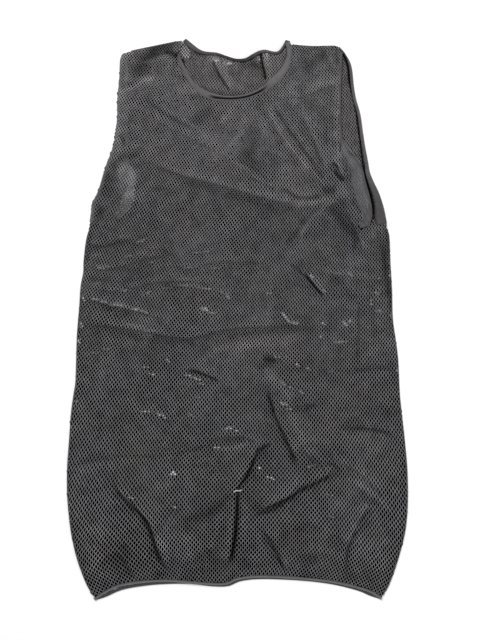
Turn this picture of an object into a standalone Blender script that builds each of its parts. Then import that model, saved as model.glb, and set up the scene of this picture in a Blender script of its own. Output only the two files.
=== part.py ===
"""Mesh-knit sleeveless top, laid flat on its back.

Frame: +X to the viewer's right, +Y from the hem to the neck, +Z up, metres.
The origin is the centre of the garment's bounding box on the surface it lies on.
The back of the garment is underneath, with its flat underside at Z = 0.  The
front lies over it, with the wearer's space between the two layers.

All plan points are in millimetres, on the finished edges of the cloth.
"""
import math

import bmesh
import bpy
from mathutils import Vector

# ---------------------------------------------------------------- dimensions
MM = 0.001
CLOTH = 1.6            # thickness of the knitted mesh and of the bindings
INSIDE = 7.0           # clear height between the back and the front layer
GAP = 0.3              # running gap between neighbouring pieces
BAND = 8.0             # finished width of the neck and armhole bindings
HEM_BAND = 5.0         # finished width of the hem binding
SEAM_IN = 1.0          # seam walls stand this far inside the cloth's edge
SEAM_THICK = 3.0       # thickness of an overlocked seam, seen in plan
THREAD_R = 0.45        # radius of a row of stitches
STITCH_IN = 6.2        # the row of stitches runs this far inside a finished edge
HEM_STITCH_IN = 3.9
YARN_R = 0.4           # radius of the loose yarn end

BACK_Z = 0.0
FRONT_Z = CLOTH + INSIDE

# ------------------------------------------------------------ finished edges
# Each list runs along one finished edge; a smooth curve passes through it.
SHOULDER_LEFT = [(-172, 400), (-158, 404), (-118, 412), (-77, 421)]
SHOULDER_RIGHT = [(73, 419), (80, 414), (112, 411), (150, 411), (158, 404)]

NECK_FRONT = [(-77, 421), (-81, 404), (-81, 394), (-76, 377), (-67, 362),
              (-56, 349), (-44, 341), (-29, 337), (-8, 336), (14, 340),
              (32, 348), (46, 358), (59, 372), (68, 386), (73, 401), (73, 419)]
NECK_BACK = [(-77, 421), (-70, 415), (-53, 404), (-38, 400), (-23, 398),
             (-11, 394), (2, 391), (13, 393), (23, 399), (34, 403), (46, 404),
             (59, 402), (65, 406), (73, 419)]

ARM_LEFT_FRONT = [(-172, 400), (-178, 362), (-181, 328), (-182, 299),
                  (-187, 260), (-199, 227), (-210, 193), (-218, 175), (-223, 145)]
ARM_LEFT_BACK = [(-172, 400), (-175, 360), (-175, 322), (-171, 277),
                 (-164, 242), (-158, 217), (-157, 194), (-164, 175),
                 (-179, 160), (-200, 150), (-223, 145)]
ARM_RIGHT_FRONT = [(158, 404), (158, 385), (156, 353), (155, 314), (154, 274),
                   (152, 247), (154, 221), (163, 199), (173, 179), (185, 164),
                   (199, 153), (212, 146), (224, 142)]
ARM_RIGHT_BACK = [(158, 404), (169, 386), (173, 367), (178, 332), (185, 307),
                  (191, 266), (197, 232), (204, 208), (212, 190), (220, 167),
                  (224, 142)]

SIDE_LEFT = [(-223, 145), (-228, 116), (-232, 85), (-236, 44), (-240, -8),
             (-243, -68), (-246, -113), (-253, -181), (-256, -241),
             (-254, -286), (-249, -323), (-240, -364), (-229, -395), (-214, -422)]
SIDE_RIGHT = [(224, 142), (229, 119), (231, 75), (233, 30), (235, -8),
              (240, -46), (243, -76), (245, -110), (248, -143), (252, -184),
              (256, -230), (256, -275), (252, -317), (243, -355),
              (233, -387), (215, -421)]

HEM_FRONT = [(-214, -422), (-200, -412), (-173, -401), (-140, -396),
             (-109, -394), (-71, -396), (-35, -399), (-16, -399), (1, -391),
             (20, -388), (49, -388), (80, -390), (116, -393), (149, -397),
             (181, -405), (199, -411), (215, -421)]
HEM_BACK = [(-214, -422), (-197, -415), (-173, -406), (-140, -400),
            (-109, -398), (-71, -398), (-35, -400), (-14, -401), (4, -394),
            (22, -391), (49, -391), (80, -393), (116, -396), (149, -400),
            (181, -408), (199, -415), (215, -421)]

LOOSE_END = [(-6, -256, 0), (-2, -255.4, 0.3), (2, -254.2, 0.6), (7, -254.0, 0.2)]

# ------------------------------------------------------------------- scene
for old in list(bpy.data.objects):
    bpy.data.objects.remove(old, do_unlink=True)

top = bpy.data.collections.new("mesh_knit_sleeveless_top")
bpy.context.scene.collection.children.link(top)
cutters = bpy.data.collections.new("cutters")
bpy.context.scene.collection.children.link(cutters)


def material(name, colour, roughness):
    mat = bpy.data.materials.new(name)
    mat.use_nodes = True
    bsdf = mat.node_tree.nodes["Principled BSDF"]
    bsdf.inputs["Base Color"].default_value = (*colour, 1.0)
    bsdf.inputs["Roughness"].default_value = roughness
    bsdf.inputs["Metallic"].default_value = 0.0
    mat.diffuse_color = (*colour, 1.0)
    return mat


# ---------------------------------------------------------------- geometry
def smooth(points, step=13.0):
    """Points of a Catmull-Rom curve through the given points, about step apart."""
    pts = [Vector(p) for p in points]
    pts = [pts[0] * 2 - pts[1]] + pts + [pts[-1] * 2 - pts[-2]]
    out = []
    for i in range(1, len(pts) - 2):
        a, b, c, d = pts[i - 1], pts[i], pts[i + 1], pts[i + 2]
        n = max(1, round((c - b).length / step))
        for k in range(n):
            t = k / n
            out.append(0.5 * ((2 * b) + (c - a) * t + (2 * a - 5 * b + 4 * c - d) * t * t
                              + (3 * b - a - 3 * c + d) * t ** 3))
    out.append(pts[-2].copy())
    return out


def normals(path):
    """Unit normals, 90 degrees anticlockwise from the way the path runs."""
    out = []
    for i in range(len(path)):
        a = path[max(i - 1, 0)]
        b = path[min(i + 1, len(path) - 1)]
        t = (b - a).normalized()
        out.append(Vector((-t.y, t.x)))
    return out


def offset(path, distance):
    return [p + n * distance for p, n in zip(path, normals(path))]


def lengthened(path, start, end):
    """The path with a straight run added before its start and after its end."""
    out = list(path)
    if start:
        out.insert(0, path[0] + (path[0] - path[1]).normalized() * start)
    if end:
        out.append(path[-1] + (path[-1] - path[-2]).normalized() * end)
    return out


def shortened(path, start, end):
    """The path without its first and last few millimetres."""
    def cut(points, amount):
        points = list(points)
        while amount > 0 and len(points) > 2:
            step = (points[1] - points[0]).length
            if step > amount:
                points[0] = points[0].lerp(points[1], amount / step)
                return points
            amount -= step
            points.pop(0)
        return points
    return cut(cut(path, start)[::-1], end)[::-1]


def strip(path, near, far):
    """Outline of the ribbon between two offsets of a path."""
    return offset(path, near) + offset(path, far)[::-1]


def plate(name, outline, low, high, mat=None, collection=None):
    """A flat outline given its thickness, as one closed mesh object."""
    curve = bpy.data.curves.new(name + "_outline", "CURVE")
    curve.dimensions = "2D"
    curve.fill_mode = "BOTH"
    curve.extrude = (high - low) / 2 * MM
    spline = curve.splines.new("POLY")
    spline.points.add(len(outline) - 1)
    for point, p in zip(spline.points, outline):
        point.co = (p.x * MM, p.y * MM, 0.0, 1.0)
    spline.use_cyclic_u = True
    guide = bpy.data.objects.new(name + "_outline", curve)
    guide.location.z = (low + high) / 2 * MM
    bpy.context.scene.collection.objects.link(guide)
    bpy.context.view_layer.update()
    made = guide.evaluated_get(bpy.context.evaluated_depsgraph_get())
    mesh = bpy.data.meshes.new_from_object(made)
    mesh.name = name
    bm = bmesh.new()
    bm.from_mesh(mesh)
    bmesh.ops.remove_doubles(bm, verts=bm.verts, dist=1e-6)
    bmesh.ops.recalc_face_normals(bm, faces=bm.faces)
    bm.to_mesh(mesh)
    bm.free()
    piece = bpy.data.objects.new(name, mesh)
    piece.matrix_world = guide.matrix_world
    bpy.data.objects.remove(guide, do_unlink=True)
    bpy.data.curves.remove(curve)
    if mat:
        piece.data.materials.clear()
        piece.data.materials.append(mat)
    (collection or top).objects.link(piece)
    return piece


def cutter(name, outline, low, high):
    piece = plate(name, outline, low, high, collection=cutters)
    piece.hide_render = True
    piece.display_type = "WIRE"
    return piece


def boolean(piece, tool, operation):
    mod = piece.modifiers.new(operation.lower() + "_" + tool.name, "BOOLEAN")
    mod.operation = operation
    mod.object = tool
    mod.solver = "EXACT"


def thread(name, path, z, radius, mat):
    """A round row of thread along a path at one height, or through 3-D points."""
    curve = bpy.data.curves.new(name, "CURVE")
    curve.dimensions = "3D"
    curve.bevel_depth = radius * MM
    curve.bevel_resolution = 1
    curve.use_fill_caps = True
    spline = curve.splines.new("POLY")
    spline.points.add(len(path) - 1)
    for point, p in zip(spline.points, path):
        height = z + (p.z if len(p) > 2 else 0.0)
        point.co = (p.x * MM, p.y * MM, height * MM, 1.0)
    curve.materials.append(mat)
    piece = bpy.data.objects.new(name, curve)
    top.objects.link(piece)
    return piece


# --------------------------------------------------- curves, centred on X, Y
edges = {
    "shoulder_left": SHOULDER_LEFT, "shoulder_right": SHOULDER_RIGHT,
    "neck_front": NECK_FRONT, "neck_back": NECK_BACK,
    "arm_left_front": ARM_LEFT_FRONT, "arm_left_back": ARM_LEFT_BACK,
    "arm_right_front": ARM_RIGHT_FRONT, "arm_right_back": ARM_RIGHT_BACK,
    "side_left": SIDE_LEFT, "side_right": SIDE_RIGHT,
    "hem_front": HEM_FRONT, "hem_back": HEM_BACK,
}
edges = {name: smooth(points) for name, points in edges.items()}
every = [p for path in edges.values() for p in path]
middle = Vector(((min(p.x for p in every) + max(p.x for p in every)) / 2,
                 (min(p.y for p in every) + max(p.y for p in every)) / 2))
edges = {name: [p - middle for p in path] for name, path in edges.items()}


def layer_outline(side):
    """The whole outline of the front or the back, anticlockwise from the left shoulder tip."""
    loop = []
    for path in (edges["arm_left_" + side], edges["side_left"], edges["hem_" + side],
                 edges["side_right"][::-1], edges["arm_right_" + side][::-1],
                 edges["shoulder_right"][::-1], edges["neck_" + side][::-1],
                 edges["shoulder_left"][::-1]):
        loop += path[:-1]
    return loop


# Paths in the order of the outline, so that the cloth lies on their left.
BINDINGS = {
    "neck_{}": ("neck_binding_{}", "neck_stitch_{}", BAND, STITCH_IN, (12, 12), True),
    "arm_left_{}": ("armhole_binding_left_{}", "armhole_stitch_left_{}", BAND, STITCH_IN, (12, 0), False),
    "arm_right_{}": ("armhole_binding_right_{}", "armhole_stitch_right_{}", BAND, STITCH_IN, (0, 12), True),
    "hem_{}": ("hem_binding_{}", "hem_stitch_{}", HEM_BAND, HEM_STITCH_IN, (12, 12), False),
}

mesh_front = material("mesh_knit_front", (0.090, 0.085, 0.089), 0.85)
mesh_back = material("mesh_knit_back", (0.082, 0.078, 0.081), 0.85)

for side, base in (("back", BACK_Z), ("front", FRONT_Z)):
    outline = layer_outline(side)
    panel = plate(side + "_panel", outline, base, base + CLOTH,
                  mesh_front if side == "front" else mesh_back)
    whole = cutter(side + "_outline_tool", outline, base - 3, base + CLOTH + 3)
    for key, (band_name, stitch_name, width, stitch_in, ends, turned) in BINDINGS.items():
        path = edges[key.format(side)]
        if turned:
            path = path[::-1]
        long_path = lengthened(path, *ends)
        name = band_name.format(side)
        band = plate(name, strip(long_path, -3.0, width), base, base + CLOTH,
                     material(name, (0.125, 0.118, 0.122), 0.8))
        boolean(band, whole, "INTERSECT")
        groove = cutter(name + "_tool", strip(long_path, -4.0, width + GAP), base - 2, base + CLOTH + 2)
        boolean(panel, groove, "DIFFERENCE")
        row = offset(shortened(path, 14.0, 14.0), stitch_in)
        stitches = stitch_name.format(side)
        thread(stitches, row, base + CLOTH + GAP + THREAD_R, THREAD_R,
               material(stitches, (0.105, 0.100, 0.104), 0.7))

# Overlocked seams, standing between the layers just inside the edges they join.
for name, path, ends in (
        ("shoulder_seam_left", edges["shoulder_left"][::-1], (4.0, 4.0)),
        ("shoulder_seam_right", edges["shoulder_right"][::-1], (6.0, 9.0)),
        ("side_seam_left", edges["side_left"], (3.0, 9.0)),
        ("side_seam_right", edges["side_right"][::-1], (9.0, 3.0))):
    plate(name, strip(shortened(path, *ends), SEAM_IN, SEAM_IN + SEAM_THICK),
          BACK_Z + CLOTH + GAP, FRONT_Z - GAP, material(name, (0.100, 0.095, 0.098), 0.85))

thread("loose_yarn_end", [Vector(p) - Vector((middle.x, middle.y, 0)) for p in LOOSE_END],
       FRONT_Z + CLOTH + GAP + YARN_R, YARN_R, material("loose_yarn_end", (0.60, 0.57, 0.52), 0.7))
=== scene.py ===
"""Looks of the mesh-knit sleeveless top: real net, bindings, seams and folds."""

import math

import bpy
import numpy as np
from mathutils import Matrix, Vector


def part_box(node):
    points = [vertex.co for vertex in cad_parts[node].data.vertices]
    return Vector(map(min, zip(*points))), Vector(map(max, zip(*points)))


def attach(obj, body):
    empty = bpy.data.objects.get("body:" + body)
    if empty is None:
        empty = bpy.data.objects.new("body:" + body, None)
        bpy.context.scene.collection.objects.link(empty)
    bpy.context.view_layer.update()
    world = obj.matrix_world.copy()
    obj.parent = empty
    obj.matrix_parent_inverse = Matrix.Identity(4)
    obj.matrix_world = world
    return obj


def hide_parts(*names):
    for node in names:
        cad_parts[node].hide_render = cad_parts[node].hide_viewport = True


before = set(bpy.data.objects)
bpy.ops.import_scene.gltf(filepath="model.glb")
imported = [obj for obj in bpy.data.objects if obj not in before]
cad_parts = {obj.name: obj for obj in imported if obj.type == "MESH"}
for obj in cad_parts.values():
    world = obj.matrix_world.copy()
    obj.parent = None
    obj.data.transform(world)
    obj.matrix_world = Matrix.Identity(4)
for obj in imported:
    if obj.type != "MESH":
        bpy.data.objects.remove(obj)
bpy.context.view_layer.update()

# ------------------------------------------------------------------ plan grid
# The plan is laid out on a grid of 1.5 mm units, u to the right and v downwards.
UNIT = 0.0015
panel_lo, panel_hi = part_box("back_panel")
FLOOR = float(panel_lo[2])
X0 = (float(panel_lo[0]) + float(panel_hi[0])) / 2


def at(u, v):
    return (X0 + (u - 237.5) * UNIT, (319.5 - v) * UNIT + 0.0005)


def pts(*uv):
    return np.array([at(u, v) for u, v in uv], float)


def smooth(points, step=0.004):
    """Catmull-Rom through an (n, 2) array, resampled evenly about step apart."""
    p = np.asarray(points, float)
    p = np.vstack([2 * p[0] - p[1], p, 2 * p[-1] - p[-2]])
    out = []
    for i in range(1, len(p) - 2):
        a, b, c, d = p[i - 1], p[i], p[i + 1], p[i + 2]
        t = np.linspace(0, 1, 16, endpoint=False)[:, None]
        out.append(0.5 * (2 * b + (c - a) * t + (2 * a - 5 * b + 4 * c - d) * t ** 2
                          + (3 * b - a - 3 * c + d) * t ** 3))
    out = np.vstack(out + [p[-2][None]])
    return resample(out, step)


def resample(p, step):
    seg = np.linalg.norm(np.diff(p, axis=0), axis=1)
    s = np.concatenate([[0], np.cumsum(seg)])
    n = max(2, int(round(s[-1] / step)) + 1)
    q = np.linspace(0, s[-1], n)
    return np.stack([np.interp(q, s, p[:, k]) for k in range(p.shape[1])], 1)


def side_normals(p):
    t = np.gradient(p[:, :2], axis=0)
    t /= np.linalg.norm(t, axis=1)[:, None] + 1e-12
    return np.stack([-t[:, 1], t[:, 0]], 1)


def along(p):
    s = np.concatenate([[0], np.cumsum(np.linalg.norm(np.diff(p, axis=0), axis=1))])
    return s / s[-1]


# ------------------------------------------------------------ finished edges
SHOULDER_L = pts((122.8, 53), (132, 50), (158, 44.5), (186, 38.8))
SHOULDER_R = pts((285.8, 40), (291, 43.5), (312, 45.5), (337, 45.5), (343, 50))
NECK_F = pts((186, 39.2), (184, 46), (183.3, 53), (184.3, 60), (187.3, 71), (193.2, 81),
             (200, 87), (208, 91.7), (219, 95.3), (231, 96.3), (242, 95.3), (252.5, 92.2),
             (262, 86.8), (270, 79.5), (277, 72.5), (283, 65), (286, 57), (286.3, 50),
             (285.2, 44), (285.6, 40.2))
NECK_B = pts((186, 38.8), (190.8, 42.8), (198.5, 49), (205, 51.8), (216.8, 52.8), (225.5, 55.6),
             (236, 58.8), (245, 58.4), (252.6, 54.2), (259, 51), (265.3, 50), (273, 51.6),
             (278, 51.2), (282.2, 46.5), (285.8, 40))
ARM_LF = pts((122.8, 53), (119.8, 60), (119, 78), (117, 100), (116.6, 120), (113, 145), (105.4, 166),
             (97.6, 191), (91.8, 203), (91, 210), (89.2, 222))
ARM_LB = pts((122.8, 53), (122, 80), (122, 110), (125, 138), (130, 158), (134, 173), (134.8, 187),
             (132.4, 198), (127, 206.5), (120.5, 213.5), (112, 219), (101, 221.5), (89.2, 222))
ARM_RF = pts((343, 50), (342.6, 63), (341.4, 88), (340.6, 114), (341, 136), (340.5, 150), (343.5, 163),
             (349.5, 174), (353, 188), (357, 201), (362.5, 212), (370, 220.5), (379, 223.5), (387, 223))
ARM_RB = pts((343, 50), (349.6, 60.5), (352.2, 70), (353.8, 85), (356, 98), (360.4, 114), (363, 132),
             (365, 145), (368, 161), (370, 172), (374, 182), (379.2, 193), (384, 208), (387, 223))
SIDE_L = pts((89.2, 222), (89.2, 227), (85.6, 241), (83.2, 262), (83, 272), (80.2, 287), (79, 306),
             (77.6, 322), (76.4, 340), (75.2, 380), (73.6, 392), (70.8, 412), (68.6, 442),
             (66.9, 466), (66.7, 490), (68, 511), (71, 535), (76.5, 559), (84, 580), (90, 592), (95, 600.6))
SIDE_R = pts((387, 223), (389.6, 238), (390.6, 262), (392.2, 290), (393, 318), (396, 340), (398.4, 360),
             (400, 393), (402.2, 415), (405.2, 442), (407.7, 472), (408, 504), (405.6, 531),
             (399.5, 556), (393, 576), (386.5, 591), (381, 599.6))
HEM_F = pts((95, 600.6), (104, 594.3), (113, 589.6), (122, 586.4), (144, 583.2), (165, 582.2), (184, 583.2),
            (205, 585), (219, 585.6), (228, 584.6), (237, 580.6), (251, 578.3), (269, 578), (291, 579),
            (315, 581), (337, 584), (358, 589), (370, 593), (381, 599.6))
HEM_B = pts((95, 600.6), (106, 597), (122, 590.2), (144, 586.2), (165, 584.4), (190, 584.2), (212, 586.6),
            (228, 586.4), (241, 581.4), (260, 579.4), (291, 580.2), (315, 582.2), (337, 585.6),
            (358, 591), (370, 596), (381, 599.6))


def outline(arm_l, side_l, hem, side_r, arm_r, sh_r, neck, sh_l):
    loop = [smooth(arm_l), smooth(side_l), smooth(hem), smooth(side_r)[::-1], smooth(arm_r)[::-1],
            smooth(sh_r)[::-1], smooth(neck)[::-1], smooth(sh_l)[::-1]]
    return np.vstack([a[:-1] for a in loop])


FRONT = outline(ARM_LF, SIDE_L, HEM_F, SIDE_R, ARM_RF, SHOULDER_R, NECK_F, SHOULDER_L)
BACK = outline(ARM_LB, SIDE_L, HEM_B, SIDE_R, ARM_RB, SHOULDER_R, NECK_B, SHOULDER_L)


def inside(x, y, poly):
    """Even-odd test of many points against a polygon."""
    res = np.zeros(x.shape, bool)
    a, b = poly, np.roll(poly, -1, axis=0)
    for (x0, y0), (x1, y1) in zip(a, b):
        if y0 == y1:
            continue
        hit = (y0 > y) != (y1 > y)
        if hit.any():
            xi = (x1 - x0) * (y - y0) / (y1 - y0) + x0
            res ^= hit & (x < xi)
    return res


def ribbon_outline(path, near, far):
    n = side_normals(path)
    return np.vstack([path + n * near, (path + n * far)[::-1]])


# ------------------------------------------------------------- height fields
STEP = 0.001
gx = np.arange(-0.276, 0.27601, STEP)
gy = np.arange(-0.441, 0.44101, STEP)
GX, GY = np.meshgrid(gx, gy)


def soft_noise(lx, ly, seed, turn=0.0):
    """Seeded smooth noise with unit spread and given feature lengths in metres."""
    rng = np.random.default_rng(seed)
    f = np.fft.rfft2(rng.standard_normal(GX.shape))
    ky = np.fft.fftfreq(GX.shape[0], STEP)[:, None] * 2 * math.pi
    kx = np.fft.rfftfreq(GX.shape[1], STEP)[None] * 2 * math.pi
    c, s = math.cos(turn), math.sin(turn)
    a, b = kx * c + ky * s, -kx * s + ky * c
    f *= np.exp(-0.5 * ((a * lx) ** 2 + (b * ly) ** 2))
    r = np.fft.irfft2(f, s=GX.shape)
    return (r - r.mean()) / r.std()


def blur(field, length):
    f = np.fft.rfft2(np.pad(field, 40, mode="edge"))
    shape = (field.shape[0] + 80, field.shape[1] + 80)
    ky = np.fft.fftfreq(shape[0], STEP)[:, None] * 2 * math.pi
    kx = np.fft.rfftfreq(shape[1], STEP)[None] * 2 * math.pi
    return np.fft.irfft2(f * np.exp(-0.5 * length ** 2 * (kx ** 2 + ky ** 2)), s=shape)[40:-40, 40:-40]


def window(points, reach):
    x0, y0 = points.min(0) - reach
    x1, y1 = points.max(0) + reach
    i0, i1 = np.searchsorted(gx, [x0, x1])
    j0, j1 = np.searchsorted(gy, [y0, y1])
    return slice(max(j0, 0), j1), slice(max(i0, 0), i1)


def measure(points, reach=0.06, step=0.004):
    """Signed distance to a curve (left is +), share along it and its normal, near the curve."""
    p = smooth(points, step) if len(points) > 2 else resample(np.asarray(points, float), step)
    w = window(p, reach)
    x, y = GX[w], GY[w]
    best = np.full(x.shape, 1e9)
    sign = np.ones(x.shape)
    share = np.zeros(x.shape)
    nx, ny = np.zeros(x.shape), np.zeros(x.shape)
    s = along(p)
    for i in range(len(p) - 1):
        a, b = p[i], p[i + 1]
        d = b - a
        L2 = d @ d
        t = np.clip(((x - a[0]) * d[0] + (y - a[1]) * d[1]) / L2, 0, 1)
        ex, ey = x - a[0] - t * d[0], y - a[1] - t * d[1]
        q = ex * ex + ey * ey
        m = q < best
        best[m] = q[m]
        L = math.sqrt(L2)
        cross = (d[0] * ey - d[1] * ex)
        sign[m] = np.sign(cross[m] + 1e-15)
        share[m] = (s[i] + t * (s[i + 1] - s[i]))[m]
        nx[m], ny[m] = -d[1] / L, d[0] / L
    return w, np.sqrt(best) * sign, share, nx, ny


def ease(t):
    t = np.clip(t, 0, 1)
    return t * t * (3 - 2 * t)


class Cloth:
    """One layer: height of its middle surface, how its net is pulled in plan, and its painted light and shade."""

    def __init__(self, base):
        self.z = np.full(GX.shape, base)
        self.dx = np.zeros(GX.shape)
        self.dy = np.zeros(GX.shape)
        # painted light and shade, multiplied into the colour of the cloth
        self.shade = np.ones(GX.shape)      # how open to the light the cloth is

    def crease(self, points, high=0.003, low=0.001, reach=0.016, soft=0.0013, valley=0.002,
               valley_w=0.0016, side=1, taper=0.22, pull=0.0012):
        """A tucked fold: cloth stands high on one side, drops into a valley and recovers."""
        w, d, s, nx, ny = measure(points)
        d = d * side
        amp = ease(s / taper) * ease((1 - s) / taper)
        up = 0.5 * (1 + np.tanh(d / soft))
        self.z[w] += amp * (up * high * np.exp(-np.abs(d) / reach)
                            - (1 - up) * low * np.exp(-np.abs(d) / (reach * 0.7))
                            - valley * np.exp(-((d + valley_w * 0.8) / valley_w) ** 2))
        # painted shade in the valley and on the low side, painted highlight on the high side
        deep = min(1.0, valley / 0.0034)
        self.shade[w] *= 1 - 0.92 * deep ** 1.1 * amp * np.exp(-((d + valley_w * 0.5) / (valley_w * 0.85)) ** 2)
        self.shade[w] *= 1 - 0.36 * deep ** 0.7 * amp * (1 - up) * np.exp(-np.abs(d) / 0.0085)
        self.shade[w] *= 1 + 0.20 * amp * min(1.0, high / 0.0026) * up * np.exp(-((d - 0.005) / 0.0062) ** 2)
        k = -pull * np.tanh(d / 0.003) * np.exp(-np.abs(d) / 0.011) * amp * side
        self.dx[w] += nx * k
        self.dy[w] += ny * k

    def ridge(self, points, height=0.0015, width=0.006, taper=0.3):
        w, d, s, nx, ny = measure(points)
        amp = ease(s / taper) * ease((1 - s) / taper)
        self.z[w] += amp * height * np.exp(-(d / width) ** 2)
        # painted highlight along the ridge
        self.shade[w] *= 1 + 0.12 * amp * np.exp(-(d / width) ** 2)

    def stroke(self, points, width, depth, taper=0.15):
        """Painted shade (painted light, if depth is negative) along a line, width in plan units."""
        w, d, s, nx, ny = measure(points)
        amp = ease(s / taper) * ease((1 - s) / taper)
        self.shade[w] *= 1 - depth * amp * np.exp(-np.abs(d / (width * UNIT)) ** 2.5)

    def edge(self, points, low, reach, power=1.0):
        """Brings the layer down to a height along a finished edge."""
        w, d, s, nx, ny = measure(points, 0.08)
        k = np.exp(-(np.abs(d) / reach) ** power)
        self.z[w] += (low - self.z[w]) * k

    def at(self, x, y, field=None):
        f = self.z if field is None else field
        fx = np.clip((x - gx[0]) / STEP, 0, len(gx) - 1.001)
        fy = np.clip((y - gy[0]) / STEP, 0, len(gy) - 1.001)
        i, j = fx.astype(int), fy.astype(int)
        a, b = fx - i, fy - j
        return ((f[j, i] * (1 - a) + f[j, i + 1] * a) * (1 - b)
                + (f[j + 1, i] * (1 - a) + f[j + 1, i + 1] * a) * b)


def span(lo, hi, value):
    return ease((value - lo) / (hi - lo))


V = 319.5 - (GY - 0.0005) / UNIT            # plan units down the garment
Uc = (GX - X0) / UNIT + 237.5

# ---- front layer
front = Cloth(0.0052)
body = span(215, 300, V)
front.z += 0.0009 * soft_noise(0.028, 0.020, 3) * (0.4 + 0.6 * body)
front.z += 0.0016 * span(400, 520, V) + 0.0006 * soft_noise(0.012, 0.010, 5) * span(380, 480, V)
front.z += 0.00042 * soft_noise(0.020, 0.0042, 8, 0.06) * span(215, 245, V) * (1 - span(330, 420, V)) * 1.5
front.z += 0.00030 * soft_noise(0.007, 0.005, 12)
UPPER = 1 - span(190, 225, V)
front.z += 0.0004 * UPPER * soft_noise(0.016, 0.006, 21, -0.5)

C = front.crease
R = front.ridge
# lower body tucks
C(pts((266, 444), (258, 450), (253.5, 461), (247, 475), (239, 486), (237.2, 497), (236.6, 516), (235, 536),
      (231, 553), (226.5, 569)), high=0.0040, low=0.0012, valley=0.0034, valley_w=0.0019, side=-1, taper=0.12, pull=0.0018)
C(pts((266.5, 384), (269.5, 396), (275, 413), (281, 428), (288, 443), (295, 458), (300.5, 470)), high=0.0030, low=0.0010,
  valley=0.0030, valley_w=0.0019, side=1, taper=0.2, pull=0.0015)
C(pts((338, 465), (331, 474), (318, 481), (304, 488), (288, 497), (270, 506), (255, 513)), high=0.0032, low=0.0012,
  valley=0.0030, valley_w=0.0020, side=-1, taper=0.2, pull=0.0015)
C(pts((110, 480), (118, 490), (131, 504), (143, 515), (150.5, 526), (155, 541), (161, 557), (172, 574)),
  high=0.0036, low=0.0014, valley=0.0026, valley_w=0.0020, side=1, taper=0.18, pull=0.0015)
C(pts((262, 524), (268, 537), (275, 550), (281, 562), (287, 572)), high=0.0022, low=0.0010, valley=0.0020, side=1)
C(pts((372, 500), (362, 518), (353, 535), (347.5, 552), (346.5, 566), (347.5, 577)), high=0.0020, low=0.0009,
  valley=0.0013, side=-1)
C(pts((322, 447), (331, 456), (343, 464), (358, 472), (373, 486), (392, 508)), high=0.0020, low=0.0008, valley=0.0007,
  side=1, reach=0.022, taper=0.3)
C(pts((300, 446), (311, 458), (322, 468), (333, 473)), high=0.0016, low=0.0008, valley=0.0014, side=1)
C(pts((339, 431), (352, 428.5), (367, 429), (381, 432), (393, 436)), high=0.0018, low=0.0008, valley=0.0018, side=-1)
C(pts((206, 441), (222, 438), (240, 436), (256, 441), (268, 438)), high=0.0013, low=0.0008, valley=0.0012, side=1)
C(pts((70, 470), (96, 462), (130, 453), (168, 449), (206, 443)), high=0.0014, low=0.0008, valley=0.0006, side=-1, reach=0.024)
C(pts((182, 506), (170, 519), (160, 530), (154, 541)), high=0.0012, low=0.0006, valley=0.0008, side=1)
C(pts((112, 548), (124, 560), (133, 573), (140, 583)), high=0.0016, low=0.0006, valley=0.0008, side=1)
C(pts((200, 545), (205, 558), (206, 572), (202, 584)), high=0.0012, low=0.0006, valley=0.0006, side=1)
C(pts((308, 556), (316, 566), (320, 580)), high=0.0012, low=0.0006, valley=0.0008, side=-1)
R(pts((146, 500), (178, 484), (206, 470)), 0.0012, 0.010)
R(pts((300, 505), (316, 520), (330, 540)), 0.0012, 0.010)
R(pts((96, 500), (100, 525), (108, 550)), 0.0012, 0.012)
R(pts((255, 470), (272, 486), (290, 480)), 0.0012, 0.010)
# middle wrinkles
C(pts((80, 325), (112, 327), (150, 333), (184, 338.5), (205, 336), (226, 330), (262, 327), (322, 326)), high=0.0016,
  low=0.0010, valley=0.0012, side=1, reach=0.020, taper=0.12)
C(pts((295, 268), (303, 274), (312, 283), (323, 297)), high=0.0018, low=0.0008, valley=0.0022, side=1)
C(pts((185, 367), (198, 370.5), (212, 377), (226, 384)), high=0.0014, low=0.0008, valley=0.0016, side=1)
C(pts((346, 376), (362, 371), (378, 369), (396, 372)), high=0.0016, low=0.0008, valley=0.0014, side=-1)
C(pts((294, 406), (306, 405), (318, 402)), high=0.0010, low=0.0006, valley=0.0012, side=1)
C(pts((84, 240), (100, 247), (118, 243), (138, 237)), high=0.0014, low=0.0007, valley=0.0008, side=1)
C(pts((82, 262), (98, 270), (118, 268), (150, 258), (172, 256)), high=0.0015, low=0.0007, valley=0.0010, side=1)
C(pts((80, 285), (104, 291), (128, 289), (160, 282), (200, 283), (228, 291)), high=0.0016, low=0.0007, valley=0.0010, side=1)
C(pts((78, 297), (98, 303), (124, 309), (152, 316), (176, 322)), high=0.0018, low=0.0007, valley=0.0011, side=1)
C(pts((190, 268), (220, 262), (250, 262), (276, 268)), high=0.0010, low=0.0006, valley=0.0008, side=1)
C(pts((136, 327), (158, 336), (176, 341)), high=0.0012, low=0.0006, valley=0.0008, side=1)
C(pts((140, 410), (156, 412), (170, 420), (178, 430)), high=0.0012, low=0.0006, valley=0.0008, side=1)
C(pts((262, 352), (276, 357), (285, 366)), high=0.0010, low=0.0006, valley=0.0012, side=1)
R(pts((228, 350), (262, 343), (300, 338)), 0.0012, 0.009)
R(pts((272, 376), (284, 390), (296, 404)), 0.0018, 0.006)
R(pts((325, 270), (345, 272), (380, 280)), 0.0010, 0.005)
R(pts((356, 300), (360, 322), (362, 345)), 0.0012, 0.006)
C(pts((357, 296), (359, 320), (358, 350)), high=0.0010, low=0.0006, valley=0.0010, side=-1)
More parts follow.
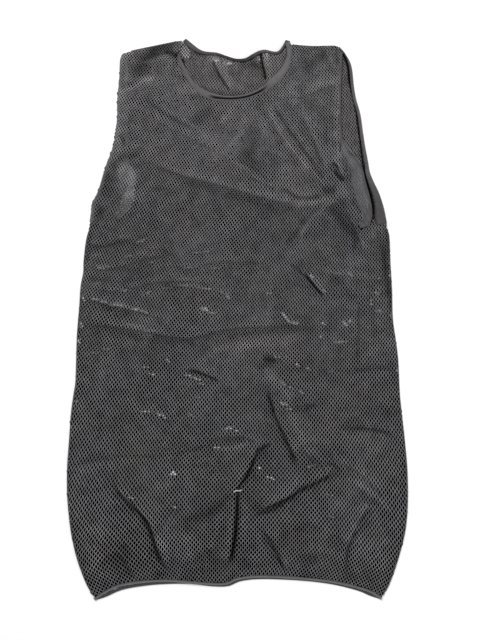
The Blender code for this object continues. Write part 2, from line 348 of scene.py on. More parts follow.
# pulled folds of the chest
C(pts((134, 104), (150, 117), (170, 128), (196, 141), (216, 152), (240, 168), (258, 181), (284, 192), (306, 202)),
  high=0.0015, low=0.0010, valley=0.0007, side=1, reach=0.018, taper=0.2)
C(pts((128, 151), (150, 163), (178, 174), (206, 182), (236, 190), (262, 197), (286, 203), (310, 204), (324, 200)),
  high=0.0016, low=0.0011, valley=0.0007, side=1, reach=0.022, taper=0.2)
C(pts((262, 101), (270, 118), (281, 136), (296, 156), (310, 173), (322, 186), (330, 196)), high=0.0015, low=0.0009,
  valley=0.0008, side=1, reach=0.015, taper=0.2)
C(pts((300, 98), (306, 118), (315, 140), (326, 160)), high=0.0010, low=0.0006, valley=0.0003, side=1)
C(pts((276, 90), (292, 106), (305, 124), (312, 146)), high=0.0011, low=0.0005, valley=0.0003, side=1)
R(pts((236, 108), (224, 126), (208, 146)), 0.0011, 0.007)
R(pts((250, 104), (244, 126), (232, 150), (222, 170)), 0.0010, 0.008)
R(pts((262, 108), (272, 140), (282, 170)), 0.0010, 0.007)
C(pts((122, 94), (134, 91), (146, 84), (160, 78)), high=0.0019, low=0.0009, valley=0.0005, side=1, reach=0.012)
C(pts((136, 62), (152, 58), (166, 53), (180, 52)), high=0.0012, low=0.0008, valley=0.0012, side=-1)
C(pts((292, 100), (310, 95), (326, 88), (340, 83)), high=0.0018, low=0.0008, valley=0.0003, side=1, reach=0.010)
C(pts((330, 160), (337, 166), (341, 174), (347, 181)), high=0.0026, low=0.0010, valley=0.0028, side=1)
C(pts((322, 214), (330, 207), (339, 202)), high=0.0012, low=0.0006, valley=0.0012, side=1)
C(pts((340, 206), (350, 220), (358, 236), (364, 254)), high=0.0016, low=0.0008, valley=0.0014, side=1)
C(pts((296, 240), (304, 226), (314, 214), (326, 206)), high=0.0012, low=0.0006, valley=0.0008, side=-1)
R(pts((344, 190), (352, 206), (362, 224)), 0.0016, 0.006)

# a painted shadow by the left neck point
front.stroke(pts((170, 58), (176, 56), (182, 53)), 2.2, 0.60, 0.3)
# painted light and shade along the folds: points, width in plan units, shade painted (painted light if negative)
for line, width, depth in (
        # left shoulder
        (((160, 45), (150, 57), (142, 69), (131, 82)), 6.5, 0.34), (((148, 54), (160, 50), (176, 50)), 5.0, 0.34),
        (((163, 52), (172, 54), (181, 56)), 2.2, 0.55), (((126, 55), (134, 52), (146, 50)), 4.0, -0.18),
        (((119, 94), (132, 91.5), (142, 83.5), (157, 76)), 2.0, -0.12), (((120, 88), (130, 85), (138, 80)), 2.0, 0.16),
        (((126, 66), (122, 74), (120, 82)), 4.0, 0.16),
        # diagonal folds of the left chest
        (((139, 92), (152, 104), (167, 116), (184, 124), (202, 133)), 2.4, 0.30),
        (((160, 104), (177, 116), (194, 127), (211, 141), (232, 152)), 2.0, -0.18),
        (((208, 104), (200, 116), (196, 128)), 7.0, 0.20), (((222, 108), (217, 122), (214, 136)), 3.0, 0.20),
        (((242, 102), (230, 112), (217, 124), (206, 136)), 3.0, -0.26), (((248, 128), (238, 138), (226, 148)), 3.0, -0.24),
        (((258, 124), (252, 140), (247, 158), (250, 168)), 8.0, 0.26), (((240, 150), (252, 162), (266, 170)), 6.0, 0.20),
        (((262, 150), (274, 158), (282, 166)), 5.0, 0.16), (((262, 112), (262, 124), (268, 140)), 3.0, -0.20),
        (((232, 154), (244, 163), (258, 172), (272, 183)), 1.8, 0.20),
        # right of the neck
        (((264, 98), (272, 115), (281, 134), (292, 150), (304, 165), (316, 178)), 2.6, -0.34),
        (((269, 98), (278, 113), (289, 130), (299, 143), (309, 158), (321, 176), (330, 187)), 1.5, 0.42),
        (((284, 108), (294, 126), (303, 142), (312, 156)), 2.6, -0.20),
        (((300, 114), (308, 128), (314, 144), (320, 160), (328, 172)), 1.6, 0.30),
        (((288, 82), (293, 94), (300, 104)), 4.0, -0.20), (((306, 98), (312, 108), (318, 120)), 6.0, 0.12),
        (((302, 74), (310, 64), (320, 58), (330, 50)), 6.0, 0.30), (((324, 48), (331, 60), (338, 74)), 1.6, -0.24),
        (((333, 66), (336, 60), (336, 52)), 3.0, 0.14), (((302, 87), (318, 85), (338, 83)), 2.6, -0.22),
        (((337, 84), (338, 100), (338, 120)), 2.2, -0.18), (((322, 116), (327, 130), (326, 146)), 1.8, 0.18),
        (((330, 104), (332, 126), (334, 150)), 2.0, 0.14),
        # the pull across the chest, light above and dark below
        (((150, 160), (168, 167), (186, 174), (212, 182), (240, 189), (266, 196), (290, 201)), 3.6, -0.12),
        (((170, 176), (188, 181), (212, 187), (236, 195), (262, 203), (284, 208)), 4.6, 0.20),
        (((284, 201), (300, 204.5), (314, 203), (334, 198)), 2.4, -0.34),
        (((276, 186), (288, 192), (298, 197.6), (313, 197.5), (326, 193)), 2.0, 0.36),
        (((322, 192), (330, 190), (337, 190)), 5.0, 0.42), (((326, 204), (336, 214), (346, 226), (352, 238)), 5.0, 0.34),
        (((312, 217), (301, 223), (294, 236), (288, 246)), 1.8, 0.22), (((347, 186), (354, 198), (362, 212)), 4.0, -0.14),
        # left armhole
        (((142, 149), (132, 157), (120, 160), (110, 172)), 4.0, 0.30), (((120.5, 132), (122.5, 140), (125, 147)), 2.0, 0.36),
        (((126, 137), (134, 142), (143, 148)), 4.0, -0.16), (((114, 176), (110, 188), (106, 200)), 6.0, 0.26),
        (((104, 204), (101, 214), (100, 222)), 4.0, 0.22), (((128, 224), (136, 220), (142, 216)), 2.4, -0.10),
        (((116, 163), (112, 172), (108, 182)), 5.0, 0.22), (((103, 205), (98, 218), (95, 230)), 4.0, 0.22),
        (((150, 46), (166, 44), (178, 42)), 4.0, 0.28),
        # sides
        (((336, 196), (346, 208), (356, 222), (364, 236)), 6.0, 0.22), (((384, 215), (388, 235), (390, 262)), 4.0, 0.22),
        (((382, 240), (384, 258), (386, 276), (390, 298), (391, 314)), 3.0, 0.40),
        (((376, 228), (380, 240), (383, 252)), 3.0, 0.26), (((90, 232), (87, 250), (85, 262)), 4.0, 0.16),
        (((350, 228), (354, 238), (355.5, 252)), 2.4, 0.32), (((360, 236), (366, 246), (374, 250)), 5.0, -0.06),
        (((357, 300), (358.5, 320), (357.5, 345), (357, 366)), 1.6, 0.30), (((364, 330), (372, 350), (384, 364)), 6.0, -0.10),
        (((388, 360), (392, 372), (398, 380)), 4.0, 0.22),
        # middle wrinkles
        (((84, 248), (102, 246), (120, 242), (136, 238)), 3.4, 0.26), (((88, 256), (98, 254.6), (108, 254)), 1.8, -0.20),
        (((118, 256.5), (134, 254.5), (150, 251)), 2.0, -0.26), (((94, 267), (101, 268), (108, 267)), 2.8, -0.30),
        (((84, 276), (94, 279), (110, 281)), 3.0, 0.20), (((150, 267), (176, 265), (200, 266), (224, 267)), 2.0, -0.18),
        (((168, 285), (186, 284), (206, 286), (222, 290), (232, 296)), 2.2, -0.24), (((104, 290), (118, 290.5), (134, 289)), 2.0, -0.22),
        (((138, 294.5), (148, 293.5), (158, 292)), 2.4, -0.22), (((196, 309), (206, 311), (216, 314)), 5.0, -0.14),
        (((86, 298), (104, 301.5), (122, 305), (140, 310), (152, 313)), 1.8, -0.22), (((92, 306), (116, 311), (140, 319)), 3.0, 0.16),
        (((128, 323), (140, 329), (156, 334)), 2.6, -0.24), (((154, 319), (180, 324), (204, 332)), 3.0, -0.14),
        (((79, 331), (104, 329), (122, 332), (145, 339), (182, 342), (208, 346), (224, 338)), 3.2, 0.16),
        (((220, 338), (248, 333), (282, 331), (309, 329), (322, 327)), 2.4, 0.22), (((206, 357), (222, 348), (250, 344), (282, 340), (308, 334)), 5.0, -0.24),
        (((262, 358), (269, 359.5), (277, 361)), 2.2, 0.55), (((258, 372), (264, 366), (274, 364)), 4.0, 0.22),
        (((184, 369.5), (198, 372.5), (210, 377), (222, 383)), 1.6, 0.50), (((200, 378), (210, 384), (222, 388)), 3.0, -0.08),
        (((289, 262), (296, 268), (304, 273)), 1.6, 0.30), (((303, 272), (311, 282), (318, 290), (325, 298)), 1.3, 0.70),
        (((308, 272), (316, 280), (323, 289)), 2.0, -0.18), (((291, 230), (290, 238), (286, 246)), 1.6, 0.24),
        (((325, 271), (338, 272.5), (352, 274)), 2.0, -0.16), (((284, 316), (292, 320), (300, 324)), 3.0, -0.20),
        (((336, 323), (344, 322), (352, 321)), 3.0, -0.22), (((332, 341), (338, 342), (344, 341)), 3.0, -0.22),
        (((262, 364), (272, 376), (285, 390), (298, 402)), 4.6, -0.30), (((267, 391), (271, 402), (275, 414)), 2.2, 0.40),
        (((304, 408), (314, 406), (323, 403)), 2.0, 0.28), (((142, 411), (158, 413), (170, 422)), 2.2, -0.24),
        # lower body
        (((222, 428), (230, 432), (236, 436)), 3.0, -0.20), (((210, 450), (226, 448.5), (244, 445), (266, 440)), 2.2, -0.32),
        (((110, 458.5), (140, 456), (168, 455), (192, 449.5), (208, 446), (222, 452)), 2.0, 0.24),
        (((254, 451.5), (260, 449), (266, 446), (272, 442)), 1.8, 0.62), (((254.5, 455), (251, 466), (246, 476), (238, 487)), 1.7, 0.55),
        (((238, 487), (237, 500), (236, 515), (234.5, 535), (233, 550), (231.5, 566)), 2.2, 0.62),
        (((244, 498), (244, 520), (241, 545)), 4.0, -0.16), (((222, 500), (217, 510), (202, 516), (176, 521)), 5.0, 0.26),
        (((234, 492), (226, 498), (218, 508)), 4.0, 0.22), (((190, 530), (188, 548), (190, 564)), 8.0, -0.16),
        (((208, 546), (212, 556), (218, 566)), 5.0, 0.22), (((160, 500), (158, 512), (160, 526)), 3.0, -0.14),
        (((274, 410), (281, 424), (287, 444), (293, 458), (299, 470)), 3.0, 0.20), (((289, 408), (296, 424), (303, 440), (310, 456)), 4.6, -0.26),
        (((308, 452), (316, 460), (324, 466), (332, 464), (345, 474)), 1.8, 0.30), (((314, 470), (322, 470), (332, 469)), 2.4, -0.18),
        (((344, 477), (358, 483), (372, 493), (384, 504), (396, 518)), 2.4, -0.34), (((350, 486), (366, 496), (380, 508)), 3.0, 0.14),
        (((342, 431), (354, 429.6), (364, 429.6), (384, 432.6), (398, 440)), 2.0, 0.34), (((342, 440), (362, 440), (386, 444)), 4.0, -0.10),
        (((248, 515), (262, 513), (274, 509), (290, 498), (302, 487), (316, 481)), 2.4, 0.44), (((268, 500), (284, 490), (300, 478)), 5.0, -0.18),
        (((268, 533), (275, 546), (280, 557), (284, 568)), 2.2, 0.40), (((262, 524), (258, 536), (262, 552)), 3.0, -0.14),
        (((372, 232), (376, 250), (378, 270), (380, 290)), 12.0, 0.14), (((330, 212), (345, 226), (360, 240)), 14.0, 0.14),
        (((355, 420), (372, 450), (384, 480)), 16.0, -0.10), (((300, 380), (330, 392), (352, 400)), 12.0, -0.08),
        (((250, 250), (262, 262), (280, 268)), 16.0, -0.04), (((180, 240), (210, 236), (240, 240)), 9.0, -0.10),
        (((250, 205), (280, 214), (306, 212)), 7.0, 0.14), (((200, 192), (224, 198), (248, 206)), 6.0, 0.10),
        (((182, 455), (190, 475), (200, 492)), 10.0, -0.08), (((240, 560), (252, 566), (262, 560)), 6.0, 0.14),
        (((360, 530), (349, 544), (345.5, 560), (346, 576)), 2.2, 0.40), (((354, 560), (358, 545), (364, 532)), 5.0, -0.24),
        (((376, 534), (378, 552), (374, 572)), 12.0, -0.20), (((324, 500), (336, 506), (350, 512)), 7.0, -0.16),
        (((292, 530), (304, 526), (312, 522)), 4.0, 0.20), (((296, 560), (306, 556), (320, 560)), 7.0, 0.16),
        (((121, 496), (130, 504), (144, 520), (151.5, 536), (157, 554), (166, 572)), 2.2, 0.52),
        (((134, 546), (122, 556), (108, 568)), 12.0, 0.24), (((118, 552), (126, 566), (134, 580)), 3.0, 0.22),
        (((160, 530), (165, 546), (172, 560)), 5.0, -0.20), (((78, 472), (92, 468), (108, 464)), 6.0, -0.16),
        (((84, 538), (90, 552), (98, 566)), 5.0, -0.10), (((166, 470), (172, 474), (178, 478)), 5.0, -0.12)):
    front.stroke(pts(*line), width, depth * (1.25 if depth > 0 else 1.15), 0.2)
# painted shade along the right armhole's edge and creases and by the shoulders, and a painted highlight on the left
# shoulder fold
front.stroke(pts((342, 50), (342.2, 66), (341.6, 84), (340.6, 112)), 0.9, 0.55, 0.1)
front.stroke(pts((334.5, 169), (336.5, 174), (340, 178), (344.5, 181.5)), 1.5, 0.85)
front.stroke(pts((346, 162), (346.5, 168), (345.5, 173)), 1.2, 0.6)
front.stroke(pts((326, 62), (333, 70), (339, 76)), 3.0, 0.18)
front.stroke(pts((128, 76), (136, 68), (146, 62)), 4.0, 0.22)
front.stroke(pts((118, 91), (130, 88), (142, 82), (156, 78)), 3.0, -0.30)

front.edge(NECK_F, 0.0036, 0.010, 1.6)
front.edge(ARM_RF, 0.0040, 0.007, 1.6)
front.edge(SHOULDER_L, 0.0022, 0.006, 1.4)
front.edge(SHOULDER_R, 0.0022, 0.006, 1.4)
front.edge(SIDE_L, 0.0021, 0.0055, 1.5)
front.edge(SIDE_R, 0.0021, 0.0055, 1.5)
front.edge(ARM_LF, 0.0026, 0.0055, 1.5)
front.edge(HEM_F, 0.0031, 0.016, 1.3)
front.z = blur(front.z, 0.0007)

# ---- back layer, lying on the surface
back = Cloth(0.0008)
back.z += 0.0004 * np.abs(soft_noise(0.014, 0.010, 31))
NAPE = (1 - span(88, 104, V)) * span(150, 186, Uc) * (1 - span(284, 300, Uc))
back.z += 0.0010 * NAPE * (1.2 + soft_noise(0.010, 0.008, 33))
back.crease(pts((211, 56), (213.5, 63), (218.5, 74), (225.5, 84.5), (231, 92)), high=0.0022, low=0.0004, valley=0.0006, side=1,
            reach=0.010, taper=0.12)
back.crease(pts((260.5, 53), (262, 62), (264.5, 71), (266.5, 82)), high=0.0034, low=0.0006, valley=0.0012, side=1,
            reach=0.009, taper=0.1, pull=0.0020)
back.ridge(pts((262, 50), (270, 60), (276, 70)), 0.0016, 0.006)
back.ridge(pts((186, 44), (200, 52), (214, 56)), 0.0022, 0.006)
# painted shade and painted light along the creases and folds of the back by the nape
back.stroke(pts((212.5, 59), (215.5, 67), (219, 75), (224.5, 83.5), (230, 91)), 1.2, 0.62, 0.1)
back.stroke(pts((260.8, 52), (262, 61), (263.8, 69), (266, 80)), 1.6, 0.93, 0.08)
back.stroke(pts((250, 62), (257, 66), (262, 70)), 2.4, 0.45)
back.stroke(pts((190, 50), (198, 54), (206, 56)), 1.4, 0.5)
back.stroke(pts((228, 72), (236, 73), (244, 71)), 3.0, 0.25)
back.stroke(pts((264, 52), (268, 58), (267, 66)), 5.0, -0.35)
back.stroke(pts((206, 58), (218, 61), (230, 64)), 4.0, -0.34)
back.stroke(pts((238, 62), (250, 66), (259, 68)), 5.0, 0.30)
back.stroke(pts((222, 66), (228, 76), (236, 86)), 3.0, -0.20)
back.stroke(pts((190, 60), (198, 74), (208, 86)), 4.0, 0.10)
back.stroke(pts((198, 84), (214, 92), (232, 94), (250, 90)), 2.4, 0.25)
OPEN_R = span(334, 346, Uc) * (1 - span(208, 232, V))
back.z += 0.0012 * OPEN_R
back.edge(ARM_RB, 0.0052, 0.0032, 2.0)
w_, d_, s_, _, _ = measure(ARM_RB, 0.03)
d_ = np.abs(d_)
back.z[w_] -= 0.0016 * np.exp(-((d_ - 0.0085) / 0.0028) ** 2) * ease(s_ / 0.08) * ease((1 - s_) / 0.05)
back.z = np.maximum(back.z, 0.00066)
back.z = blur(back.z, 0.0006)
# the front always lies clear of the back
COVER = inside(GX, GY, FRONT)
front.z = np.where(COVER, np.maximum(front.z, back.z + 0.00125), front.z)

# ------------------------------------------------------------------- the net
WALES = 56          # wales laid out to each side of the middle; the outline cuts them
PITCH = 3.42        # wale spacing at the waist, in plan units
# how the cloth spreads down its length: wale spacing, drift of the middle, row height and bow of the rows
S_V = [30, 80, 110, 150, 200, 240, 300, 350, 400, 450, 500, 546, 575, 610]
S_S = [.80, .83, .865, .890, .925, .955, .995, 1.03, 1.07, 1.11, 1.165, 1.175, 1.10, 1.04]
C_V = [30, 110, 200, 300, 350, 420, 500, 560, 610]
C_C = [260, 256.5, 248, 238, 233.5, 229.5, 225.5, 225.0, 226.0]
H_V = [30, 84, 110, 150, 185, 240, 300, 350, 414, 458, 520, 610]
H_H = [3.40, 3.45, 3.55, 3.70, 4.00, 4.03, 4.00, 4.10, 4.42, 4.60, 4.74, 4.74]
B_V = [30, 110, 200, 300, 350, 400, 450, 500, 550, 610]
B_B = [-.00075, -.00070, -.00050, -.00040, -.00026, -.00004, .00024, .00070, .00105, .00105]


def fair(v, xs, ys):
    """Table lookup with the corners rounded off."""
    return (np.interp(v - 14, xs, ys) + 2 * np.interp(v, xs, ys) + np.interp(v + 14, xs, ys)) / 4


def half_rows():
    v, out = 22.0, []
    while v < 616.0:
        out.append(v)
        v += np.interp(v, H_V, H_H) / 2
    return np.array(out)


ROWS = half_rows()


def net_points(layer, shift, rows_shift, seed):
    """Plan positions of every strand: an (n strands, m points, 2) array, and loop heights."""
    rows = ROWS + rows_shift
    eps, dv = 0.11, 0.34
    cols = np.arange(-WALES - 6, WALES + 6, 0.5)
    n, m = len(cols), len(rows)
    lat = np.zeros((n, 2 * m))
    vv = np.zeros((n, 2 * m))
    lift = np.zeros((n, 2 * m))
    for r in range(m):
        node_is_int = r % 2 == 1
        is_int = np.isclose(cols, np.round(cols))
        left = is_int == node_is_int           # the node lies at the strand's left end
        x = np.where(left, cols + eps, cols + 0.5 - eps)
        up = np.where(left, 1.0, -1.0) * (1 if (r // 2) % 2 else -1)
        for k, off in ((0, -dv), (1, dv)):
            lat[:, 2 * r + k] = x
            vv[:, 2 * r + k] = rows[r] + off
            lift[:, 2 * r + k] = up * 0.00012
    t = (lat + shift) * PITCH
    # the cloth closes up a little toward the side seam on the right
    t = t - 0.10 * 22 * np.log1p(np.exp((t - 112) / 22))
    u = fair(vv, C_V, C_C) + fair(vv, S_V, S_S) * t
    u = u - 0.00055 * (t * (t < 0)) ** 2 * ease((vv - 480) / 90) * 0.4
    v = vv + fair(vv, B_V, B_B) * (u - 238) ** 2
    x = X0 + (u - 237.5) * UNIT
    y = (319.5 - v) * UNIT + 0.0005
    wx = layer_noise[seed][0]
    wy = layer_noise[seed][1]
    x2 = x + front.at(x, y, wx) + layer.at(x, y, layer.dx)
    y2 = y + front.at(x, y, wy) + layer.at(x, y, layer.dy)
    return x2, y2, lift


shared_x = 0.0011 * soft_noise(0.030, 0.030, 51) + 0.00022 * soft_noise(0.008, 0.008, 52)
shared_y = 0.0011 * soft_noise(0.032, 0.026, 53) + 0.00018 * soft_noise(0.008, 0.008, 54)
layer_noise = {
    "front": (shared_x, shared_y),
    "back": (shared_x + 0.00035 * soft_noise(0.030, 0.014, 61), shared_y + 0.00035 * soft_noise(0.030, 0.014, 62)),
}


def strand_mesh(name, runs, zfield, lifts, wide, tall, tone_and_shade, core):
    """Four-sided tubes along many runs of points, as one mesh.

    wide, core and the colour-factor grid are grids over the plan, that grid holding painted light and shade with random
    colour variation; "crest" is 1 on a strand's crown and reaches 0 at the core width on its flanks, which the material
    darkens as painted shade.
    """
    verts, quads, caps, colour_factors, crests = [], [], [], [], []
    base = 0
    gz_y, gz_x = np.gradient(zfield, STEP)
    for (x, y), lift in zip(runs, lifts):
        n = len(x)
        z = front.at(x, y, zfield) + lift
        sx, sy = front.at(x, y, gz_x), front.at(x, y, gz_y)
        nrm = np.stack([-sx, -sy, np.ones(n)], 1)
        nrm /= np.linalg.norm(nrm, axis=1)[:, None]
        pos = np.stack([x, y, z], 1)
        tan = np.gradient(pos, axis=0)
        tan /= np.linalg.norm(tan, axis=1)[:, None] + 1e-12
        lat = np.cross(nrm, tan)
        lat /= np.linalg.norm(lat, axis=1)[:, None] + 1e-12
        w = front.at(x, y, wide)[:, None]
        low = nrm * tall * 0.30
        ring = np.stack([pos + lat * w - low, pos + nrm * tall, pos - lat * w - low, pos - nrm * tall], 1)
        verts.append(ring.reshape(-1, 3))
        k = np.arange(n - 1)[:, None] * 4 + base
        for a in range(4):
            b = (a + 1) % 4
            quads.append(np.concatenate([k + a, k + b, k + 4 + b, k + 4 + a], 1))
        e = base + (n - 1) * 4
        caps.append([base + 3, base + 2, base + 1, base])
        caps.append([e, e + 1, e + 2, e + 3])
        colour_factors.append(np.repeat(front.at(x, y, tone_and_shade), 4))
        # crest marks where the material paints shade on the flanks of each strand
        c = (1 - w[:, 0] / front.at(x, y, core))[:, None]
        crests.append(np.hstack([c, np.ones_like(c), c, np.ones_like(c)]).ravel())
        base += n * 4
    verts = np.vstack(verts)
    faces = np.vstack(quads + [np.array(caps)])[:, ::-1]
    me = bpy.data.meshes.new(name)
    me.vertices.add(len(verts))
    me.vertices.foreach_set("co", verts.ravel())
    me.loops.add(faces.size)
    me.loops.foreach_set("vertex_index", faces.ravel().astype(np.int32))
    me.polygons.add(len(faces))
    me.polygons.foreach_set("loop_start", np.arange(0, faces.size, 4, dtype=np.int32))
    me.polygons.foreach_set("use_smooth", np.ones(len(faces), bool))
    me.update(calc_edges=True)
    for att_name, values in (("tone_and_shade", colour_factors), ("crest", crests)):
        att = me.attributes.new(att_name, "FLOAT", "POINT")
        att.data.foreach_set("value", np.concatenate(values).astype(np.float32))
    me.validate()
    ob = bpy.data.objects.new(name, me)
    bpy.context.scene.collection.objects.link(ob)
    return ob


def make_runs(x, y, lift, keep):
    """Splits each strand where it leaves the panel."""
    runs, lifts = [], []
    for s in range(x.shape[0]):
        k = keep[s]
        edges = np.flatnonzero(np.diff(np.concatenate([[0], k.astype(np.int8), [0]])))
        for a, b in zip(edges[::2], edges[1::2]):
            if b - a >= 4:
                runs.append((x[s, a:b], y[s, a:b]))
                lifts.append(lift[s, a:b])
    return runs, lifts


# ------------------------------------------------------------- building nets
BAND = 0.0078

front_neck = smooth(np.vstack([pts((180.2, 53.5), (181.6, 60)), NECK_F[4:]]), 0.0012)
back_neck = smooth(NECK_B, 0.0012)


def width_along(path, shares, widths):
    return np.interp(along(path), shares, widths) * UNIT


NECK_F_W = width_along(front_neck, [0, .04, .12, .2, .28, .34, .40, .5, .60, .66, .72, .80, .88, 1],
                       [2.6, 3.4, 4.2, 5.0, 6.4, 6.0, 4.4, 4.2, 4.6, 5.6, 7.6, 7.4, 5.6, 4.6])
NECK_B_W = width_along(back_neck, [0, .07, .18, .3, .5, .62, .7, .8, .9, 1], [4.5, 5.6, 3.6, 2.6, 2.6, 4.2, 3.4, 2.6, 2.8, 2.4])


def strip_poly(path, near, far):
    n = side_normals(path)
    near = np.broadcast_to(near, len(path))[:, None]
    far = np.broadcast_to(far, len(path))[:, None]
    return np.vstack([path + n * near, (path + n * far)[::-1]])


def longer(path, a, b):
    p = [path]
    if a:
        p.insert(0, path[:1] + (path[0] - path[3]) / np.linalg.norm(path[0] - path[3]) * a)
    if b:
        p.append(path[-1:] + (path[-1] - path[-4]) / np.linalg.norm(path[-1] - path[-4]) * b)
    return np.vstack(p)


# front: where the net stops under each binding (side_normals point to the left of travel)
arm_rf = smooth(ARM_RF, 0.0012)
arm_rb = smooth(ARM_RB, 0.0012)
arm_lf = smooth(ARM_LF, 0.0012)
arm_lb = smooth(ARM_LB, 0.0012)
hem_f = smooth(HEM_F, 0.0012)
hem_b = smooth(HEM_B, 0.0012)

HEM_W = 2.7 * UNIT
SLIT = pts((343.4, 54), (346, 60), (348.4, 68), (349, 78), (350.5, 86), (353, 95), (355, 104), (356.8, 115), (358.5, 128),
           (360.5, 142), (362, 155), (363.6, 166), (366.2, 178), (369.3, 190), (371.8, 200), (373.6, 209), (373.4, 218))
RF_EDGE = smooth(pts((342.6, 52), (342, 63), (341.2, 88), (340.8, 114), (341.6, 132), (344, 143), (350, 153), (357, 160),
                     (362.4, 168), (365.0, 179), (368, 190), (370.4, 200), (372, 210), (371.6, 219), (367.5, 226), (360, 228.6)), 0.0012)
RF_W = width_along(RF_EDGE, [0, .415, .474, .535, .587, .634, .693, .752, .81, .862, .909, .956, 1],
                   [2.4, 2.4, 3.5, 6.5, 9.0, 11.5, 13, 13.5, 13, 11.5, 9.5, 8, 5])
rb_w = width_along(arm_rb, [0, .07, .11, .21, .45, .60, .66, .735, .80, .86, .915, .96, 1],
                   [0.9, 2.3, 2.8, 3.1, 3.2, 3.6, 4.0, 5.2, 6.6, 7.6, 9.2, 11, 11])

# beside the left neck point only one layer is left, and the floor shows through it
PATCH_N = pts((180.6, 47), (184, 42.8), (187.5, 43), (190, 48), (189, 54.5), (184.5, 57), (181, 55))
x, y, lift = net_points(front, 0.0, 0.0, "front")
keep = inside(x, y, FRONT)
keep &= ~inside(x, y, strip_poly(longer(front_neck, 0.004, 0.004), 0.004, 0.0012 - np.concatenate([[NECK_F_W[0]], NECK_F_W, [NECK_F_W[-1]]])))
OVER = pts((341.5, 138), (348, 146), (355, 153), (360, 162), (362.6, 174), (365.4, 186), (367.6, 196), (368.5, 206),
           (366, 214), (360, 214), (352, 204), (346, 190), (341, 170))
keep = (inside(x, y, FRONT) & ~inside(x, y, strip_poly(longer(front_neck, 0.004, 0.004), 0.004, 0.0012 - np.concatenate([[NECK_F_W[0]], NECK_F_W, [NECK_F_W[-1]]])))
        & ~inside(x, y, strip_poly(longer(hem_f, 0.004, 0.004), -0.004, HEM_W - 0.0010))
        & ~inside(x, y, strip_poly(RF_EDGE, 0.0005, -(RF_W - 0.0012)))) | inside(x, y, OVER)
keep &= ~inside(x, y, PATCH_N)
EDGES = [strip_poly(longer(smooth(p, 0.002), 0.003, 0.003), sign * -0.004, sign * 0.0007)
         for p, sign in ((SIDE_L, 1), (SIDE_R, -1), (SHOULDER_L, -1), (SHOULDER_R, -1), (ARM_LF, 1))]
for strip in EDGES:
    keep &= ~inside(x, y, strip)
keep &= ~inside(x, y, strip_poly(longer(hem_f, 0.004, 0.004), -0.004, HEM_W - 0.0010))
front_runs = make_runs(x, y, lift, keep)

# the light patch beside the left armhole: there the back stops short of the front
PATCH = pts((119, 180), (125, 178), (131, 182.5), (134.2, 189), (133.6, 199), (130.5, 206.5), (127, 211.5),
            (122.5, 216), (117, 219.5), (111.5, 216), (115, 209), (117.8, 203), (118.4, 195), (118, 187))
SMOOTH = pts((119, 170), (124, 167.4), (130, 166.6), (134, 171), (135.4, 180), (134.4, 189), (131, 187), (126, 181),
             (119.6, 181))
# back: shifted half a wale so that its loops lie under the holes of the front
pale = np.zeros(GX.shape)


def streak(u, v, long, thin, turn, strength=1.0):
    cx, cy = at(u, v)
    c, s = math.cos(math.radians(turn)), math.sin(math.radians(turn))
    a = (GX - cx) * c + (GY - cy) * s
    b = -(GX - cx) * s + (GY - cy) * c
    global pale
    pale = np.maximum(pale, strength * np.exp(-(a / (long * UNIT)) ** 2 - (b / (thin * UNIT)) ** 2))


